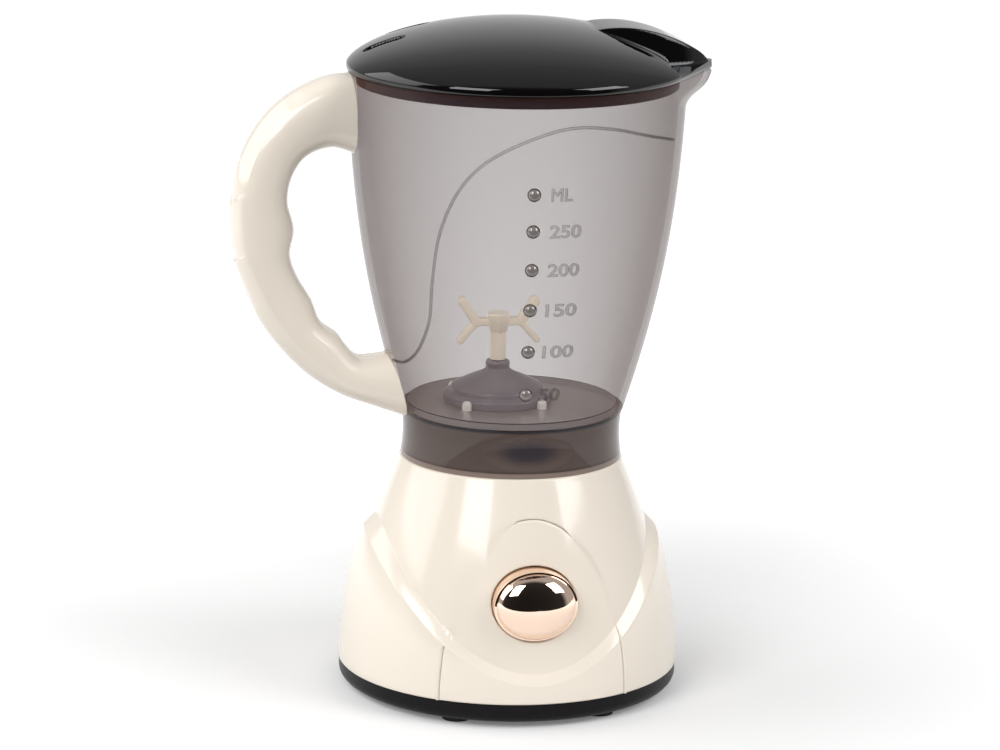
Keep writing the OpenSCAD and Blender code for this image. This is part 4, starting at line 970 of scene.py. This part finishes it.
def lid_height(x, y):
    """Top of the lid: a dome, and a beak whose walls stand in a valley cut into it."""
    far = np.abs(y)
    plain = dome(np.hypot(x, y)) - slot_cut(x, y)
    width = crest_width(x)
    lean = (crest_width(x + 0.1) - width) / 0.1
    away = (far - width) / np.sqrt(1 + lean ** 2)
    crest = CREST_Z - CREST_BEND * (x - CREST_X) ** 2 - NOSE_BEND * np.maximum(0, x - NOSE_X) ** 2
    crown = CROWN + CROWN_GROW * smooth((x - CROWN_X) / CROWN_LEN)
    roof = crest + crown * (1 - np.clip(far / width, 0, 1.3) ** 2)
    fall = np.maximum(away, 0)
    beak = -soft_max(-roof, BEAK_WALL * fall - crest, CREST_SOFT)
    v = np.clip((x - BEAK_X) / CUT_LEN, 0, 1)
    cut = CUT_W + CUT_OPEN * (1 - (1 - v) ** CUT_SOON) + CUT_END * v ** 4
    valley = np.maximum(dome(np.hypot(x, cut)) - VALLEY_DEEP + VALLEY_TILT * (cut - far), LID_WIDE)
    beak = soft_max(beak, valley, VALLEY_SOFT)
    share = smooth((x - BEAK_X + BLEND_BACK) / BLEND_LEN) * smooth((cut - far) / EDGE_SOFT + 0.5)
    return plain * (1 - share) + beak * share


def build_lid():
    """Lid as rings out along its underside, round its edge, and back over its top."""
    a = np.radians(np.concatenate([np.arange(0, 55, 1.0), np.arange(55, 125, 0.25), np.arange(125, 235, 1.0),
                                   np.arange(235, 285, 0.3), np.arange(285, 360, 1.0)]))
    edge = hull_r(spout_angle(a), LID_R, SPOUT_REACH - TIP_R, TIP_R)
    thick, thin, under_top = 2.2, 1.0, 188.0

    def top(r):
        return lid_height(r * sin(a), -r * cos(a))
    rings = []
    for share in [0.03] + list(np.linspace(0.1, 1.0, 24)):
        r = np.full(len(a), PLUG_R * share)
        under = np.minimum(np.minimum(dome(r) - thick, under_top), top(r) - thin)
        rings.append(level_ring(a, r, np.maximum(under, LID_Z)))
    rings.append(level_ring(a, PLUG_R, LID_Z))
    for inset, z in ((0.7, LID_Z), (0.3, LID_Z + 0.12), (0.03, LID_Z + 0.5), (0.0, LID_WIDE - 0.4),
                     (0.04, LID_WIDE - 0.1)):
        rings.append(level_ring(a, edge - inset, z))
    for share in 1 - np.linspace(0.012, 0.985, 180) ** 1.35:
        rings.append(level_ring(a, edge * share, top(edge * share)))
    verts, faces = rings_to_mesh(rings)
    ob = mesh_object("lid_black", verts, faces, black_gloss, "lid", ["lid_cover"])
    fix_normals(ob)
    ob.data.materials.append(slot_black)
    for face in ob.data.polygons:
        middle = face.center / MM
        if middle.z > LID_WIDE and slot_cut(middle.x, middle.y) > 0.4:
            face.material_index = 1
    sharpen(ob, 60)


build_lid()

# ---- stage, camera and light --------------------------------------------------------------
floor_mat = material("studio_floor", (0.75, 0.75, 0.75), 0.7, specular=0.1, mottle=0.004)
# The floor glows for rays that show it, and more so away from the object: distances and strengths
GLOW_FROM, GLOW_TO, GLOW_NEAR, GLOW_FAR = 0.07, 0.36, 0.15, 0.72
FLOOR_FRONT, FLOOR_REACH = -0.17, 6
tree = floor_mat.node_tree
place = node(tree, "TexCoord")
far = node(tree, "VectorMath", operation="LENGTH")
tree.links.new(place.outputs["Object"], far.inputs[0])
fade = node(tree, "MapRange", interpolation_type="SMOOTHSTEP", in_1=GLOW_FROM, in_2=GLOW_TO, in_3=GLOW_NEAR,
            in_4=GLOW_FAR)
tree.links.new(far.outputs["Value"], fade.inputs[0])
glow = node(tree, "Math", operation="MULTIPLY")
tree.links.new(ray_switch(tree, ("Is Camera Ray", "Is Glossy Ray", "Is Transmission Ray")), glow.inputs[0])
tree.links.new(fade.outputs[0], glow.inputs[1])
tree.nodes["Principled BSDF"].inputs["Emission Color"].default_value = (1, 1, 1, 1)
tree.links.new(glow.outputs[0], tree.nodes["Principled BSDF"].inputs["Emission Strength"])
me = bpy.data.meshes.new("studio_floor")
me.from_pydata([(x, y, 0) for x, y in ((-FLOOR_REACH, FLOOR_FRONT), (FLOOR_REACH, FLOOR_FRONT),
                                       (FLOOR_REACH, FLOOR_REACH), (-FLOOR_REACH, FLOOR_REACH))],
               [], [(0, 1, 2, 3)])
me.materials.append(floor_mat)
floor = bpy.data.objects.new("studio_floor", me)
bpy.context.scene.collection.objects.link(floor)

# Camera: focal length in pixels, its turn round the object, its angles, and its place before the turn
FOCAL_PX, PICTURE_PX, SENSOR = 4100.0, 1000, 36
TURN, PITCH, YAW, ROLL = math.radians(-10.2), 0.232, -0.003, math.radians(1.05)
CAMERA_AT = Vector((0, -1.131, 0.35674))
right = Vector((math.cos(YAW), -math.sin(YAW), 0))
ahead = Vector((math.sin(YAW), math.cos(YAW), 0))
up0 = Vector((0, 0, 1))
forward = ahead * math.cos(PITCH) - up0 * math.sin(PITCH)
up = ahead * math.sin(PITCH) + up0 * math.cos(PITCH)
cam_x = right * math.cos(ROLL) + up * math.sin(ROLL)
cam_y = up * math.cos(ROLL) - right * math.sin(ROLL)
rot = Matrix((cam_x, cam_y, -forward)).transposed()
cam_data = bpy.data.cameras.new("camera")
cam_data.sensor_fit = "HORIZONTAL"
cam_data.sensor_width = SENSOR
cam_data.lens = FOCAL_PX * SENSOR / PICTURE_PX
cam_data.clip_start, cam_data.clip_end = 0.05, 30
cam = bpy.data.objects.new("camera", cam_data)
bpy.context.scene.collection.objects.link(cam)
spin = Matrix.Rotation(TURN, 3, "Z")
cam.matrix_world = Matrix.Translation(spin @ CAMERA_AT) @ (spin @ rot).to_4x4()
bpy.context.scene.camera = cam

LIGHT_TARGET = Vector((0, 0, 0.1))


def softbox(name, azimuth, elevation, size, strength, distance=1.0):
    """Soft lamp seen from the object at an azimuth from the front and an elevation. Strength 1 is white."""
    a, e = math.radians(azimuth), math.radians(elevation)
    place = Vector((math.sin(a) * math.cos(e), -math.cos(a) * math.cos(e), math.sin(e))) * distance
    data = bpy.data.lights.new(name, "AREA")
    data.shape = "RECTANGLE"
    data.size, data.size_y = size
    data.energy = strength * PI * size[0] * size[1]
    ob = bpy.data.objects.new(name, data)
    bpy.context.scene.collection.objects.link(ob)
    ob.location = place + LIGHT_TARGET
    ob.rotation_euler = (-place).to_track_quat("-Z", "Y").to_euler()
    return ob


softbox("softbox_left", -42, 36, (0.46, 0.60), 5.9)
softbox("softbox_right", 54, 34, (0.50, 0.55), 5.4)
softbox("softbox_far_left", -105, 28, (1.0, 0.75), 2.0)

# A wide dim light from the front, left out of reflections
fill = softbox("front_fill", -10, 25, (1.0, 0.9), 1.5, 1.3)
fill.visible_glossy = False

# Level direction to the camera, and the studio's brightness from behind the object (0) to the camera (1). The
# camera itself sees plain white.
FRONT = (-0.177, -0.984, 0.0)
STUDIO = [(0.0, 0.75), (0.05, 0.70), (0.12, 0.50), (0.20, 0.44), (0.22, 0.40), (0.60, 0.42), (0.72, 0.03),
          (1.0, 0.012)]
world = bpy.data.worlds.new("studio")
bpy.context.scene.world = world
world.use_nodes = True
tree = world.node_tree
way = node(tree, "TexCoord")
facing = node(tree, "VectorMath", operation="DOT_PRODUCT", in_1=FRONT)
tree.links.new(way.outputs["Generated"], facing.inputs[0])
spread = node(tree, "MapRange", in_1=-1.0, in_2=1.0)
tree.links.new(facing.outputs["Value"], spread.inputs[0])
ramp = node(tree, "ValToRGB")
while len(ramp.color_ramp.elements) < len(STUDIO):
    ramp.color_ramp.elements.new(0.5)
for i, (at, value) in enumerate(STUDIO):
    ramp.color_ramp.elements[i].position = at
    ramp.color_ramp.elements[i].color = (value, value, value, 1)
tree.links.new(spread.outputs[0], ramp.inputs[0])
mix = node(tree, "Mix", data_type="RGBA")
mix.inputs[7].default_value = (1, 1, 1, 1)
tree.links.new(ray_switch(tree, ("Is Camera Ray", "Is Transmission Ray")), mix.inputs[0])
tree.links.new(ramp.outputs[0], mix.inputs[6])
tree.links.new(mix.outputs[2], tree.nodes["Background"].inputs[0])
tree.nodes["Background"].inputs["Strength"].default_value = 1.0
bpy.context.scene.view_settings.view_transform = "Standard"
